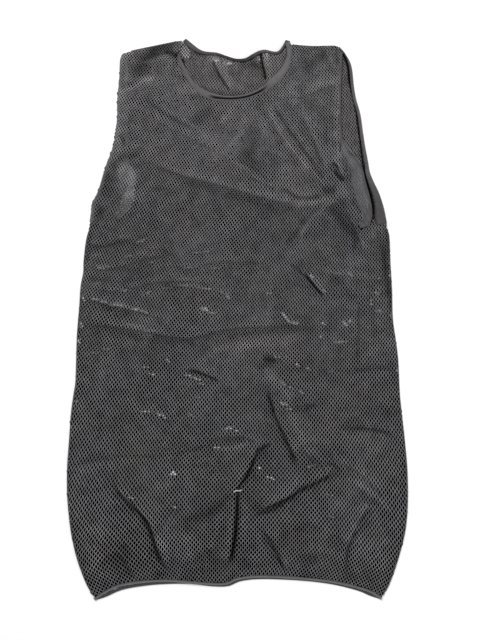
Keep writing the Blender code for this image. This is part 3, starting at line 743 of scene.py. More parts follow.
for spec in ((100, 267.5, 5, 2.2, -20), (106, 266, 3, 1.8, 0), (124, 290, 6, 1.6, 10), (127, 256, 9, 1.4, 16, .8),
             (141, 240, 9, 1.6, 28, .8), (98, 254, 6, 1.4, 10, .7), (96, 283, 6, 1.5, 20, .75), (146, 293, 8, 1.5, 22, .8),
             (94, 299, 5, 1.5, -6), (102, 301.5, 4, 1.8, 0), (114, 304.6, 8, 1.7, 0), (121, 305, 3, 1.5, 0),
             (134, 309, 5, 1.6, 0), (144, 312, 5, 1.4, -20, .8), (145, 331, 6, 1.6, 0), (152, 331, 2, 1.4, 0), (128, 324, 5, 1.6, -20, .7),
             (165, 288, 8, 1.3, 0, .7), (182, 285, 9, 1.3, -4, .75), (203, 288, 10, 1.3, -6, .8), (220, 292, 6, 1.4, -24, .85),
             (227, 297, 4, 1.6, -40, .8), (190, 267, 10, 1.2, 4, .75), (212, 268, 9, 1.3, 0, .8), (200, 252, 12, 1.5, 6, .7),
             (204, 309, 5, 2.4, -25, .85), (212, 313, 5, 1.4, 0, .8), (150, 262, 10, 1.4, 10, .6),
             (288, 321, 4, 1.8, -35), (294, 323, 4, 1.8, -25), (283, 315, 4, 1.8, -60, .8), (268, 293, 4, 1.6, 0, .7),
             (311, 276, 3, 1.8, -60, .9), (323, 290, 3, 1.5, -40, .8), (336, 273, 6, 1.3, 0, .8), (349, 274, 4, 2.0, -40, .95),
             (354, 288, 3, 1.4, 0, .75), (323, 323, 2.4, 2.4, 0, .9), (321, 337, 3, 3.2, 0, .8), (344, 324, 4, 1.8, -50), (349, 321, 3, 2, 20, .9),
             (340, 342, 6, 1.6, 8), (370, 302, 1.3, 3, 0), (379, 311, 5, 1.6, 0), (375, 293, 4, 1.8, 0, .8), (377, 278, 4, 1.6, 0, .75),
             (276, 357, 4, 1.8, -20, .95), (284, 357, 3, 1.3, 0, .7), (296, 365, 2.4, 3, 0, .9), (306, 369, 3, 2, 0, .7),
             (104, 349, 4, 1.4, 0, .8), (92, 353, 2, 1.4, 0, .8), (142, 367, 9, 1.3, -4, .7), (150, 374, 6, 1.6, -35, .75),
             (168, 361, 5, 1.4, -40, .7), (188, 376, 4, 1.4, -25), (196, 379, 5, 1.5, -28), (200, 384, 4, 1.6, -40, .8),
             (146, 412, 7, 1.5, 0, .9), (160, 415, 5, 1.7, -18), (165, 418, 3, 1.5, -30, .9), (190, 415, 5, 1.5, -40, .8), (196, 397, 5, 2.2, 0, .6),
             (281, 383, 5, 1.7, -40), (288, 387, 5, 1.3, -35, .9), (300, 392, 5, 1.2, -35, .8), (283, 404, 6, 2.2, -20, .9), (288, 409, 4, 1.6, 0, .9),
             (354, 404, 6, 1.4, -20, .7), (350, 373, 4, 2, 0, .7), (330, 372, 6, 1.4, 0, .6), (398, 368, 1.5, 3, 0),
             (228, 428, 5, 1.8, 10), (235, 431, 2, 1.6, 0), (216, 448, 6, 1.5, 0, .95), (172, 473, 3.4, 3.4, 0, .9), (258, 468, 4, 1.5, -30, .8),
             (269, 478, 5, 1.4, -30, .9), (172, 507, 3, 1.5, 0, .8), (327, 495, 1.6, 1.5, 0), (330, 517, 5, 1.3, -30, .7),
             (129, 498, 2.4, 1.6, 0, .8), (364, 505, 8, 1.2, -40, .7), (310, 466, 5, 1.3, 30, .7),
             (80, 324, 2.2, 4, 0), (78, 341, 2, 4, 0), (75.5, 403, 1.6, 5, 0, .8), (83, 254, 2, 4, 0, .8), (82, 298, 2, 6, 0, .7),
             (389, 248, 1.6, 3, 0, .9), (389.5, 275, 1.6, 4, 0), (391, 288, 1.6, 3, 0), (391, 300, 1.6, 4, 0), (390, 316, 1.6, 3, 0),
             (397, 371, 1.6, 4, 0), (371, 217, 3, 1.8, 0), (366, 218.5, 3, 1.6, 0, .8), (356, 221, 3, 1.2, 0, .7),
             (119, 236, 4, 1.4, 30, .6), (136, 206, 4, 1.3, 0, .6), (185, 49, 7, 9, 0),
             (216, 60, 6, 3, 8, .6), (228, 63, 6, 3, 8, .6), (258.5, 58, 2.0, 6, 0, .8), (268, 55, 2.4, 5, 0, .6), (203, 57, 4, 2.4, 10, .5),
             (192, 64, 2, 4, 0, .5), (244, 60, 3, 3, 0, .4)):
    streak(*spec)

GAP = np.zeros(GX.shape)
GAP[inside(GX, GY, PATCH)] = 1
pale = np.maximum(pale, 0.60 * blur(GAP, 0.0012))

x, y, lift = net_points(back, 0.0, 0.0, "back")
P_LOCAL = fair(V, S_V, S_S) * PITCH * UNIT
shift = 0.5 * P_LOCAL * (1 - ease((pale - 0.15) / 0.35))
x = x + front.at(x, y, shift)
keep = inside(x, y, BACK) | (inside(x, y, FRONT) & ~inside(x, y, BACK) & (x < X0))
keep &= ~inside(x, y, strip_poly(longer(back_neck, 0.004, 0.004), 0.004, 0.0012 - np.concatenate([[NECK_B_W[0]], NECK_B_W, [NECK_B_W[-1]]])))
keep &= ~inside(x, y, strip_poly(arm_rb, 0.004, -(rb_w - 0.0014)))
keep &= ~inside(x, y, strip_poly(longer(hem_b, 0.004, 0.004), -0.004, HEM_W - 0.0010))
for strip in EDGES[:4]:
    keep &= ~inside(x, y, strip)
back_runs = make_runs(x, y, lift, keep)

# the cloth is stretched open lower down, where its strands are a little stouter
P_GRID = P_LOCAL
shown_back = blur(1 - inside(GX, GY, FRONT).astype(float), 0.0012)
# the floor shows only where the holes of both layers meet, here and there along a wrinkle
open_back = ease((np.clip(pale, 0, 1) * (1 + 0.22 * soft_noise(0.0045, 0.003, 81)) - 0.40) / 0.22)
wide_front = np.interp(V, [60, 300, 480], [0.170, 0.168, 0.182]) * P_GRID
core_front = 0.142 * P_GRID
# near the left armhole the two layers lie pressed together and hardly show their holes
CLOSE = np.zeros(GX.shape)
w_, d_, s_, _, _ = measure(pts((122, 54), (121, 75), (120, 100), (119, 125), (117, 145), (110, 160)), 0.04)
CLOSE[w_] = np.exp(-(np.abs(d_) / (8.5 * UNIT)) ** 3) * ease((1 - s_) / 0.2)
w_, d_, s_, _, _ = measure(pts((122, 168), (128, 169), (131, 176), (128, 186)), 0.03)
CLOSE[w_] = np.maximum(CLOSE[w_], np.exp(-(np.abs(d_) / (5.5 * UNIT)) ** 3))
for cu, cv, ru, rv in ((343, 150, 10, 26), (345, 105, 9, 40), (332, 78, 12, 9), (356, 195, 10, 22), (366, 225, 8, 4),
                       (127, 90, 12, 6), (150, 80, 16, 5), (190, 88, 10, 6)):
    CLOSE = np.maximum(CLOSE, 0.75 * np.exp(-((Uc - cu) / ru) ** 4 - ((V - cv) / rv) ** 4))
CLOSE = blur(CLOSE, 0.003) * (0.62 + 0.20 * soft_noise(0.010, 0.005, 83, 0.6))
CLOSE = np.clip(CLOSE, 0, 0.9)
wide_front = wide_front * (1 + 0.42 * CLOSE)
core_front = core_front * (1 + 1.1 * CLOSE)
# just above the light patch the net is drawn tight
TIGHT = np.zeros(GX.shape)
TIGHT[inside(GX, GY, SMOOTH)] = 1
TIGHT = blur(TIGHT, 0.0016)
wide_front = wide_front * (1 + 0.62 * TIGHT)
core_front = core_front * (1 + 1.6 * TIGHT)
NICK = inside(GX, GY, strip_poly(pts((185, 41), (185, 58)), 5 * UNIT, -5 * UNIT))
NAPE_SIDE = (V < 120) & (Uc < 300)
wide_back = P_GRID * np.where(shown_back > 0.5, np.where(NAPE_SIDE, 0.375, 0.345), 0.288)
core_back = np.where(shown_back > 0.5, np.where(NAPE_SIDE, 0.150, 0.190), 0.185) * P_GRID
wide_back = wide_back * (1 - open_back) + 0.085 * P_GRID * open_back
gap = blur(GAP, 0.0008)
wide_back = wide_back * (1 - gap) + 0.185 * P_GRID * gap
# the slit beside the right armhole: a black painted shadow, with the back's strands closed up in it
slit_shadow = np.zeros(GX.shape)
w_, d_, s_, _, _ = measure(SLIT, 0.03)
SLIT_HALF = np.interp(s_, [0, .1, .3, .6, .75, .9, 1], [1.5, 1.5, 1.1, 1.2, 1.9, 2.2, 1.2]) * UNIT
slit_shadow[w_] = np.exp(-(np.abs(d_) / SLIT_HALF) ** 4)
wide_back = wide_back * (1 - slit_shadow) + 0.44 * P_GRID * slit_shadow
wide_back = np.where(NICK, 0.155 * P_GRID, wide_back)
# back colour factor: nearly black where the front covers it, as painted shade between the layers; painted light and
# shade of its creases; a black painted shadow in the slit; brighter beside the nape and darker at the nick by the left
# neck point
back_tone_and_shade = (0.02 + np.where(NAPE_SIDE, 1.36, 0.98) * ease(shown_back * 1.3)) * back.shade * (1 - 0.97 * slit_shadow) * np.where(NICK, 0.25, 1.0)
LINE_U = [80, 108, 128, 143, 180, 210, 240, 267, 290, 313, 330, 345, 358, 400]
LINE_V = [176, 172, 170, 171, 179, 184, 192, 199, 205, 205, 198, 196, 206, 214]
BELOW = V - np.interp(Uc, LINE_U, LINE_V)
sharp = span(165, 205, Uc)
# in the light patch the strands are set to half brightness
back_tone_and_shade = back_tone_and_shade * (1 - gap) + 0.50 * gap
# painted shade below the pull across the chest; the next line makes the front darker towards the bottom
darker_below_pull = 1.0 - 0.18 * blur(span(-3.0, 4.0, BELOW) * sharp + span(-14, 16, BELOW) * (1 - sharp), 0.0012)
darker_below_pull = darker_below_pull * np.interp(V, [200, 285, 420, 540], [0.985, 1.0, 0.965, 0.93])
# painted light and shade of soft rumples, in patches across the cloth
rumple_light_and_shade = 0.02 * soft_noise(0.026, 0.009, 73, -0.55) * (1 - span(180, 260, V)) + 0.03 * soft_noise(0.024, 0.008, 74, 0.15) * span(200, 260, V)
rumple_light_and_shade += 0.03 * soft_noise(0.016, 0.011, 75, 0.9) * span(380, 470, V)
OVERLAP = np.zeros(GX.shape)
OVERLAP[inside(GX, GY, OVER)] = 1
# front colour factor: painted light and shade of the folds and rumples, painted shade below the chest pull, random
# colour variation, and darker where the layers lie pressed together, where the net is drawn tight and where it is kept
# over the right armhole's binding
front_tone_and_shade = (1 - 0.26 * CLOSE) * (1 - 0.30 * TIGHT) * (1 - 0.42 * blur(OVERLAP, 0.002)) * darker_below_pull * (1.0 + rumple_light_and_shade + 0.02 * soft_noise(0.03, 0.03, 71) + 0.035 * soft_noise(0.004, 0.004, 72)) * front.shade

STRAND_T = 0.00052


def panel_pieces(stem, runs, zfield, wide, tone_and_shade, core, parts):
    """The net of one panel, in a few pieces side by side."""
    rr, ll = runs
    count = np.array([len(r[0]) for r in rr])
    cut = np.searchsorted(np.cumsum(count), np.linspace(0, count.sum(), parts + 1)[1:-1])
    out = []
    for i, (a, b) in enumerate(zip(np.concatenate([[0], cut]), np.concatenate([cut, [len(rr)]]))):
        out.append(strand_mesh(f"{stem}_{i + 1}", rr[a:b], zfield, ll[a:b], wide, STRAND_T, tone_and_shade, core))
    return out


front_net = panel_pieces("front_net", front_runs, front.z, wide_front, front_tone_and_shade, core_front, 5)
back_net = panel_pieces("back_net", back_runs, back.z, wide_back, back_tone_and_shade, core_back, 5)


# ------------------------------------------------------------------ ribbons
def new_mesh(name, verts, faces, smooth_shade=True):
    me = bpy.data.meshes.new(name)
    me.from_pydata([tuple(v) for v in verts], [], [tuple(int(i) for i in f) for f in faces])
    me.update()
    me.polygons.foreach_set("use_smooth", np.full(len(me.polygons), smooth_shade))
    ob = bpy.data.objects.new(name, me)
    bpy.context.scene.collection.objects.link(ob)
    return ob


def ribbon(name, path, width, height, side=1, thick=0.0016, cols=11, lift=None, ribs=5, rib=0.00010, start=0.0,
           shade=None):
    """A knitted band: closed rounded section swept along an edge.

    width runs inward from the edge; height(x, y, t) gives the middle of the
    band at share t of its width; lift(s, t) adds curl.
    """
    n = side_normals(path) * side
    s = along(path)
    width = np.broadcast_to(width, len(path))
    start = np.broadcast_to(start, len(path))
    t = (1 - np.cos(np.linspace(0, math.pi, cols))) / 2
    prof = np.sqrt(np.clip(1 - (2 * t - 1) ** 4, 0, 1)) * 0.5 * thick
    P = path[:, None, :] + n[:, None, :] * (start[:, None] + width[:, None] * t[None])[..., None]
    T = np.broadcast_to(t[None], P.shape[:2])
    S = np.broadcast_to(s[:, None], P.shape[:2])
    mid = height(P[..., 0], P[..., 1], T)
    if lift is not None:
        mid = mid + lift(S, T)
    ribshape = rib * np.cos(T * math.pi * 2 * ribs) * np.clip(1 - (2 * T - 1) ** 8, 0, 1)
    stitch = rib * 0.8 * np.cos(np.arange(len(path)) * math.pi)[:, None] * np.clip(1 - (2 * T - 1) ** 6, 0, 1)
    up = mid + prof[None] + ribshape + stitch
    dn = np.maximum(mid - prof[None], FLOOR + 0.00006)
    up = np.maximum(up, dn + 0.0003)
    top = np.dstack([P, up])
    bot = np.dstack([P, dn])[:, 1:-1][:, ::-1]
    ring = np.concatenate([top, bot], axis=1)
    m, k = ring.shape[:2]
    verts = ring.reshape(-1, 3)
    i = np.arange(m - 1)[:, None] * k
    j = np.arange(k)[None]
    jn = (j + 1) % k
    q = np.stack([i + j, i + jn, i + k + jn, i + k + j], -1).reshape(-1, 4)
    if side > 0:
        q = q[:, ::-1]
    faces = [tuple(f) for f in q]
    cap0, cap1 = list(range(k)), [(m - 1) * k + a for a in range(k)]
    faces.append(tuple(cap0 if side > 0 else cap0[::-1]))
    faces.append(tuple(cap1[::-1] if side > 0 else cap1))
    ob = new_mesh(name, verts, faces)
    # the shade function gives painted light and shade across and along the band, stored as a point attribute
    tone_and_shade = np.ones(T.shape) if shade is None else np.broadcast_to(shade(S, T, P[..., 0], P[..., 1]), T.shape)
    tone_and_shade = np.concatenate([tone_and_shade, tone_and_shade[:, 1:-1][:, ::-1]], axis=1)
    att = ob.data.attributes.new("tone_and_shade", "FLOAT", "POINT")
    att.data.foreach_set("value", tone_and_shade.ravel().astype(np.float32))
    uv = ob.data.uv_layers.new(name="knit")
    length = np.concatenate([[0], np.cumsum(np.linalg.norm(np.diff(path, axis=0), axis=1))])
    lu = np.repeat(length, k)
    around = np.concatenate([t, 1 + (1 - t[1:-1][::-1])]) * 0.008
    lv = np.tile(around, m)
    idx = np.empty(len(ob.data.loops), np.int32)
    ob.data.loops.foreach_get("vertex_index", idx)
    uv.data.foreach_set("uv", np.stack([lu[idx], lv[idx]], 1).ravel())
    return ob


def over(cloth, add=0.0):
    return lambda X, Y, T: cloth.at(X, Y) + add


def roll(S, T):
    """The bottom of the neckline curls over: a thin raised roll with a trench behind it."""
    k = ease((S - 0.30) / 0.07) * ease((0.72 - S) / 0.08)
    tube = 0.0026 * np.exp(-((T - 0.14) / 0.16) ** 2)
    trench = -0.0026 * np.exp(-((T - 0.56) / 0.18) ** 2)
    return k * (tube + trench) + 0.0002 * np.sin(S * 150) * k * np.exp(-((T - 0.1) / 0.15) ** 2)


def neck_shade(S, T, X, Y):
    # painted shadow in the trench behind the roll, painted highlight on the roll and painted shade along the inner edge
    # near the right end; a little lighter to the right and darker at the start
    k = ease((S - 0.30) / 0.06) * ease((0.70 - S) / 0.07)
    dark = 1 - 0.96 * k * np.exp(-(np.abs(T - 0.56) / 0.22) ** 3)
    light = 1 + 0.35 * k * np.exp(-((T - 0.14) / 0.16) ** 2)
    lip = 1 - 0.75 * ease((S - 0.86) / 0.05) * ease((0.985 - S) / 0.03) * np.exp(-(T / 0.16) ** 2)
    right = 1 + 0.10 * ease((S - 0.70) / 0.06) - 0.06 * ease((0.3 - S) / 0.1)
    return dark * light * lip * right * (1 - 0.25 * ease((0.05 - S) / 0.05))


def nape_shade(S, T, X, Y):
    # painted shade along the back neck band, varying along it and darker towards its outer edge
    base = np.interp(S, [0, .04, .2, .3, .36, .62, .68, .78, .92, 1], [.55, .72, .66, .70, .42, .34, .62, .95, .80, .70])
    return base * (1 - 0.7 * ease((T - 0.72) / 0.2))


bands = {}
bands["neck_binding_front"] = ribbon("neck_band_front", front_neck, NECK_F_W, over(front, 0.0008), lift=roll, cols=21, side=-1,
                                     shade=neck_shade)


def back_neck_height(X, Y, T):
    return back.at(X, Y) + 0.0016 + 0.0012 * (1 - T)


bands["neck_binding_back"] = ribbon("neck_band_back", back_neck, NECK_B_W, back_neck_height, side=-1, shade=nape_shade)

def rf_height(X, Y, T):
    return np.maximum(front.at(X, Y), 0.0044) - 0.0006 + 0.0012 * ease((0.28 - T) / 0.2)


def rf_shade(S, T, X, Y):
    v = 319.5 - (Y - 0.0005) / UNIT
    low = ease((v - 140) / 30)
    k = 0.74 - 0.06 * low
    k = k * (1 - 0.10 * low * np.cos(T * 9.0)) * (1 + 0.10 * np.sin(X * 900 + Y * 500) * low)
    return k


def rb_height(X, Y, T):
    # turned up on its inner side, so that it stands over the slit
    return 0.0016 + 0.0036 * ease(T * 1.15) + 0 * X


def rb_shade(S, T, X, Y):
    return (0.98 - 0.45 * ease((T - 0.72) / 0.28)) * np.interp(S, [0, .08, .3, .7, .8, 1], [.45, .8, .92, .9, .72, .66])


bands["armhole_binding_right_front"] = ribbon("armhole_band_right_front", RF_EDGE, RF_W, rf_height, side=-1, cols=13,
                                              shade=rf_shade)
bands["armhole_binding_right_back"] = ribbon("armhole_band_right_back", arm_rb, rb_w, rb_height, side=-1, thick=0.0018, cols=13,
                                             shade=rb_shade)

# left armhole: the front's edge is turned under along the silhouette
lf_w = np.interp(along(arm_lf), [0, .3, .6, 1], [3.0, 2.6, 3.2, 3.6]) * UNIT


def lf_height(X, Y, T):
    return 0.0016 + 0.0006 * T + 0 * X


bands["armhole_binding_left_front"] = ribbon("armhole_band_left_front", arm_lf, lf_w, lf_height, side=1, thick=0.0014, cols=9,
                                             start=0.0002)
# the back's binding, flattened and twisted where it shows through the front
lb_path = smooth(pts((126.5, 56), (126, 90), (126.5, 130), (126.5, 158), (126.3, 172), (124.5, 184), (121, 194),
                     (114, 206), (104, 214), (94, 219)), 0.0012)
lb_w = np.interp(along(lb_path), [0, .55, .62, .70, .80, 1], [4.4, 4.6, 12.0, 10.0, 4.0, 3.6]) * UNIT


def lb_height(X, Y, T):
    return 0.00066 + 0.0012 * ease((0.5 - np.abs(T - 0.5)) * 3) * 0.4 + 0 * X


bands["armhole_binding_left_back"] = ribbon("armhole_band_left_back", lb_path + side_normals(lb_path) * (lb_w / -2)[:, None], lb_w,
                                            lb_height, side=1, thick=0.0012, cols=13, ribs=9,
                                            shade=lambda S, T, X, Y: 0.95 - 0.25 * np.abs(T - 0.5) + 0.12 * np.sin(S * 260 + T * 9))


def hem_height(X, Y, T):
    return np.maximum(front.at(X, Y) * 0 + 0.0031 + 0.0003 * np.sin(X * 70 + 1.0), 0.0028)


# painted highlight on the front hem band with painted shade towards its outer edge; the back hem band, under the
# front's, is given painted shade all along
bands["hem_binding_front"] = ribbon("hem_band_front", hem_f, HEM_W, hem_height, thick=0.0015, ribs=3,
                                   shade=lambda S, T, X, Y: 1.30 - 0.75 * ease((T - 0.70) / 0.25) + 0 * S)
bands["hem_binding_back"] = ribbon("hem_band_back", hem_b, HEM_W, lambda X, Y, T: 0.0010 + 0 * X, thick=0.0014, ribs=3,
                                  shade=lambda S, T, X, Y: 0.55 + 0 * S)


# ------------------------------------------------------------- seams, thread
def tubes(name, paths, radius, sides=6, squash=1.0):
    """Round tubes through 3-D paths, tapered and closed at the ends, as one mesh."""
    verts, faces = [], []
    base = 0
    for p in paths:
        p = np.asarray(p, float)
        n = len(p)
        t = np.gradient(p, axis=0)
        t /= np.linalg.norm(t, axis=1)[:, None] + 1e-12
        upv = np.tile([0.0, 0.0, 1.0], (n, 1))
        upv[np.abs(t[:, 2]) > 0.9] = [0.0, 1.0, 0.0]
        a = np.cross(t, upv)
        a /= np.linalg.norm(a, axis=1)[:, None]
        b = np.cross(a, t)
        r = np.full(n, radius)
        r[0] *= 0.45
        r[-1] *= 0.45
        ang = np.arange(sides) / sides * 2 * math.pi
        ring = (p[:, None] + (a[:, None] * np.cos(ang)[None, :, None] + b[:, None] * np.sin(ang)[None, :, None] * squash)
                * r[:, None, None])
        verts.append(ring.reshape(-1, 3))
        k = np.arange(n - 1)[:, None] * sides + base
        j = np.arange(sides)[None]
        jn = (j + 1) % sides
        faces += [tuple(f) for f in np.stack([k + j, k + jn, k + sides + jn, k + sides + j], -1).reshape(-1, 4)]
        faces.append(tuple(base + i for i in range(sides))[::-1])
        faces.append(tuple(base + (n - 1) * sides + i for i in range(sides)))
        base += n * sides
    return new_mesh(name, np.vstack(verts), faces)


def stitch_row(name, path, inset, surface, side=1, pitch=0.0030, length=0.0021, radius=0.00030, zigzag=0.0):
    """Single stitches along an edge, each a short thread that dips at both ends."""
    n = side_normals(path) * side
    line = path + n * np.broadcast_to(inset, len(path))[:, None]
    line = resample(line, 0.0006)
    nn = side_normals(line) * side
    d = np.concatenate([[0], np.cumsum(np.linalg.norm(np.diff(line, axis=0), axis=1))])
    out = []
    k = 0
    pos = 0.004
    while pos + length < d[-1] - 0.004:
        q = np.linspace(pos, pos + length, 5)
        xy = np.stack([np.interp(q, d, line[:, 0]), np.interp(q, d, line[:, 1])], 1)
        off = np.stack([np.interp(q, d, nn[:, 0]), np.interp(q, d, nn[:, 1])], 1)
        xy = xy + off * (zigzag * (1 if k % 2 else -1) * np.linspace(-1, 1, 5))[:, None]
        z = surface(xy[:, 0], xy[:, 1]) + radius * np.array([-0.6, 0.5, 0.8, 0.5, -0.6])
        out.append(np.column_stack([xy, z]))
        pos += pitch
        k += 1
    return tubes(name, out, radius)


def band_top(ob):
    """Height of a finished band's upper side at any plan point."""
    from mathutils.bvhtree import BVHTree
    me = ob.data
    tree = BVHTree.FromPolygons([v.co for v in me.vertices], [tuple(p.vertices) for p in me.polygons])

    def f(x, y):
        out = np.empty(len(x))
        last = 0.003
        for i, (a, b) in enumerate(zip(x, y)):
            hit = tree.ray_cast(Vector((a, b, 0.05)), Vector((0, 0, -1)))
            if hit[0] is not None:
                last = hit[0].z
            out[i] = last
        return out
    return f


rows = {}
rows["neck_stitch_front"] = stitch_row("neck_stitches_front", front_neck, NECK_F_W * 0.80, band_top(bands["neck_binding_front"]), side=-1)
rows["neck_stitch_back"] = stitch_row("neck_stitches_back", back_neck, NECK_B_W * 0.72, band_top(bands["neck_binding_back"]), side=-1)
rows["armhole_stitch_right_front"] = stitch_row("armhole_stitches_right_front", RF_EDGE, RF_W * 0.86,
                                                band_top(bands["armhole_binding_right_front"]), side=-1)
rows["armhole_stitch_right_back"] = stitch_row("armhole_stitches_right_back", arm_rb, rb_w * 0.55,
                                               band_top(bands["armhole_binding_right_back"]), side=-1)
rows["armhole_stitch_left_front"] = stitch_row("armhole_stitches_left_front", arm_lf, lf_w * 0.7,
                                               band_top(bands["armhole_binding_left_front"]))
rows["armhole_stitch_left_back"] = stitch_row("armhole_stitches_left_back", lb_path, 0.0,
                                              band_top(bands["armhole_binding_left_back"]))
rows["hem_stitch_front"] = stitch_row("hem_stitches_front", hem_f, HEM_W * 0.72, band_top(bands["hem_binding_front"]))
rows["hem_stitch_back"] = stitch_row("hem_stitches_back", hem_b, HEM_W * 0.72, band_top(bands["hem_binding_back"]))


def overlock(name, path, inset, low, high, side=1):
    """A seam: an inner allowance strip wrapped in overlocked thread loops."""
    line = resample(path + side_normals(path) * side * inset, 0.0007)
    n = side_normals(line) * side
    i = np.arange(len(line))
    turn = i * (2 * math.pi / 5.0)
    z0 = (low + high) / 2
    loop = np.column_stack([line + n * (0.0006 * np.cos(turn))[:, None], z0 + (high - low) / 2 * np.sin(turn)])
    core = np.column_stack([line[::3], np.full(len(line[::3]), z0)])
    return tubes(name, [core], (high - low) / 2 * 0.8, 8), tubes(name + "_loops", [loop], 0.00028, 5)


seams = {}
for key, path, side in (("side_seam_left", smooth(SIDE_L)[3:-3], 1), ("side_seam_right", smooth(SIDE_R)[3:-3], -1),
                        ("shoulder_seam_left", smooth(SHOULDER_L)[3:-3], -1), ("shoulder_seam_right", smooth(SHOULDER_R)[3:-3], -1)):
    seams[key] = overlock(key.replace("seam", "overlock"), path, 0.0009, 0.0005, 0.0025, side)

tail = pts((233.4, 491.6), (235.2, 490.6), (237.4, 490.2), (239.6, 490.4), (241.6, 489.3))
tail = resample(smooth(tail, 0.0006), 0.0006)
tz = front.at(tail[:, 0], tail[:, 1])
tz = np.full(len(tail), tz.max()) + 0.0009 + 0.0004 * np.sin(np.linspace(0, math.pi, len(tail)))
loose = tubes("loose_yarn_tail", [np.column_stack([tail, tz])], 0.00055, 8)
knot_c = at(332, 495)
kz = float(front.at(np.array([knot_c[0]]), np.array([knot_c[1]]))[0]) + 0.0006
loose_knot = tubes("loose_yarn_knot", [np.array([[knot_c[0] - 0.0007, knot_c[1], kz], [knot_c[0], knot_c[1] + 0.0002, kz + 0.0003],
                                                [knot_c[0] + 0.0007, knot_c[1], kz]])], 0.0006, 8)


# ---------------------------------------------------------------- materials
def new_material(name):
    mat = bpy.data.materials.new(name)
    mat.use_nodes = True
    nt = mat.node_tree
    return mat, nt, nt.nodes["Principled BSDF"]


def node(nt, kind, **values):
    n = nt.nodes.new(kind)
    for k, v in values.items():
        if k in n.inputs:
            n.inputs[k].default_value = v
        else:
            setattr(n, k, v)
    return n


def yarn_material(name, dark, light, tone_and_shade=False, fibre=1600.0, rough=(0.72, 0.92), sheen=0.25, bump=0.35, flank_shade=0.1):
    """Spun yarn: mottled dyed colour, fine fibres and a soft sheen."""
    mat, nt, bsdf = new_material(name)
    link = nt.links.new
    coord = node(nt, "ShaderNodeTexCoord")
    mottle = node(nt, "ShaderNodeTexNoise", Scale=70.0, Detail=4.0, Roughness=0.6)
    fine = node(nt, "ShaderNodeTexNoise", Scale=fibre, Detail=3.0, Roughness=0.65)
    stretch = node(nt, "ShaderNodeMapping")
    stretch.inputs["Scale"].default_value = (1.0, 0.35, 1.0)
    stretch.inputs["Rotation"].default_value = (0.0, 0.0, 0.6)
    link(coord.outputs["Object"], mottle.inputs["Vector"])
    link(coord.outputs["Object"], stretch.inputs["Vector"])
    link(stretch.outputs["Vector"], fine.inputs["Vector"])
    mix1 = node(nt, "ShaderNodeMath", operation="MULTIPLY_ADD")
    mix1.inputs[1].default_value = 0.55
    mix1.inputs[2].default_value = -0.02
    link(fine.outputs["Fac"], mix1.inputs[0])
    mix2 = node(nt, "ShaderNodeMath", operation="MULTIPLY_ADD")
    mix2.inputs[1].default_value = 0.50
    link(mottle.outputs["Fac"], mix2.inputs[0])
    link(mix1.outputs[0], mix2.inputs[2])
    ramp = node(nt, "ShaderNodeValToRGB")
    ramp.color_ramp.elements[0].position = 0.30
    ramp.color_ramp.elements[0].color = (*dark, 1)
    ramp.color_ramp.elements[1].position = 0.72
    ramp.color_ramp.elements[1].color = (*light, 1)
    link(mix2.outputs[0], ramp.inputs["Fac"])
    drift = node(nt, "ShaderNodeTexNoise", Scale=16.0, Detail=2.0)
    link(coord.outputs["Object"], drift.inputs["Vector"])
    tint = node(nt, "ShaderNodeValToRGB")
    tint.color_ramp.elements[0].position = 0.36
    tint.color_ramp.elements[0].color = (0.992, 0.992, 1.03, 1)
    tint.color_ramp.elements[1].position = 0.64
    tint.color_ramp.elements[1].color = (1.01, 0.995, 0.978, 1)
    link(drift.outputs["Fac"], tint.inputs["Fac"])
    tinted = node(nt, "ShaderNodeVectorMath", operation="MULTIPLY")
    link(ramp.outputs["Color"], tinted.inputs[0])
    link(tint.outputs["Color"], tinted.inputs[1])
    colour = tinted.outputs[0]
    if tone_and_shade:
        # painted light and shade: the point attribute scales the colour, the crest darkens each strand's flanks as
        # painted shade, and the same factor dims sheen and specular there
        att = node(nt, "ShaderNodeAttribute", attribute_name="tone_and_shade")
        crest = node(nt, "ShaderNodeAttribute", attribute_name="crest")
        body = node(nt, "ShaderNodeMapRange", interpolation_type="SMOOTHSTEP")
        body.inputs["From Min"].default_value = 0.48
        body.inputs["From Max"].default_value = 0.94
        body.inputs["To Min"].default_value = flank_shade
        body.inputs["To Max"].default_value = 1.0
        link(crest.outputs["Fac"], body.inputs["Value"])
        both = node(nt, "ShaderNodeMath", operation="MULTIPLY")
        link(att.outputs["Fac"], both.inputs[0])
        link(body.outputs["Result"], both.inputs[1])
        mul = node(nt, "ShaderNodeVectorMath", operation="SCALE")
        link(colour, mul.inputs[0])
        link(both.outputs[0], mul.inputs["Scale"])
        colour = mul.outputs[0]
        shaded_sheen = node(nt, "ShaderNodeMath", operation="MULTIPLY")
        shaded_sheen.inputs[1].default_value = sheen
        link(both.outputs[0], shaded_sheen.inputs[0])
        link(shaded_sheen.outputs[0], bsdf.inputs["Sheen Weight"])
        gloss = node(nt, "ShaderNodeMath", operation="MULTIPLY")
        gloss.inputs[1].default_value = 0.25
        link(both.outputs[0], gloss.inputs[0])
        link(gloss.outputs[0], bsdf.inputs["Specular IOR Level"])
    link(colour, bsdf.inputs["Base Color"])
    r = node(nt, "ShaderNodeMapRange")
    r.inputs["To Min"].default_value = rough[0]
    r.inputs["To Max"].default_value = rough[1]
    link(fine.outputs["Fac"], r.inputs["Value"])
    link(r.outputs["Result"], bsdf.inputs["Roughness"])
    b = node(nt, "ShaderNodeBump", Strength=bump, Distance=0.0002)
    link(fine.outputs["Fac"], b.inputs["Height"])
    link(b.outputs["Normal"], bsdf.inputs["Normal"])
    if not tone_and_shade:
        bsdf.inputs["Sheen Weight"].default_value = sheen
        bsdf.inputs["Specular IOR Level"].default_value = 0.25
    bsdf.inputs["Sheen Roughness"].default_value = 0.5
    bsdf.inputs["Sheen Tint"].default_value = (0.75, 0.74, 0.76, 1)
    return mat


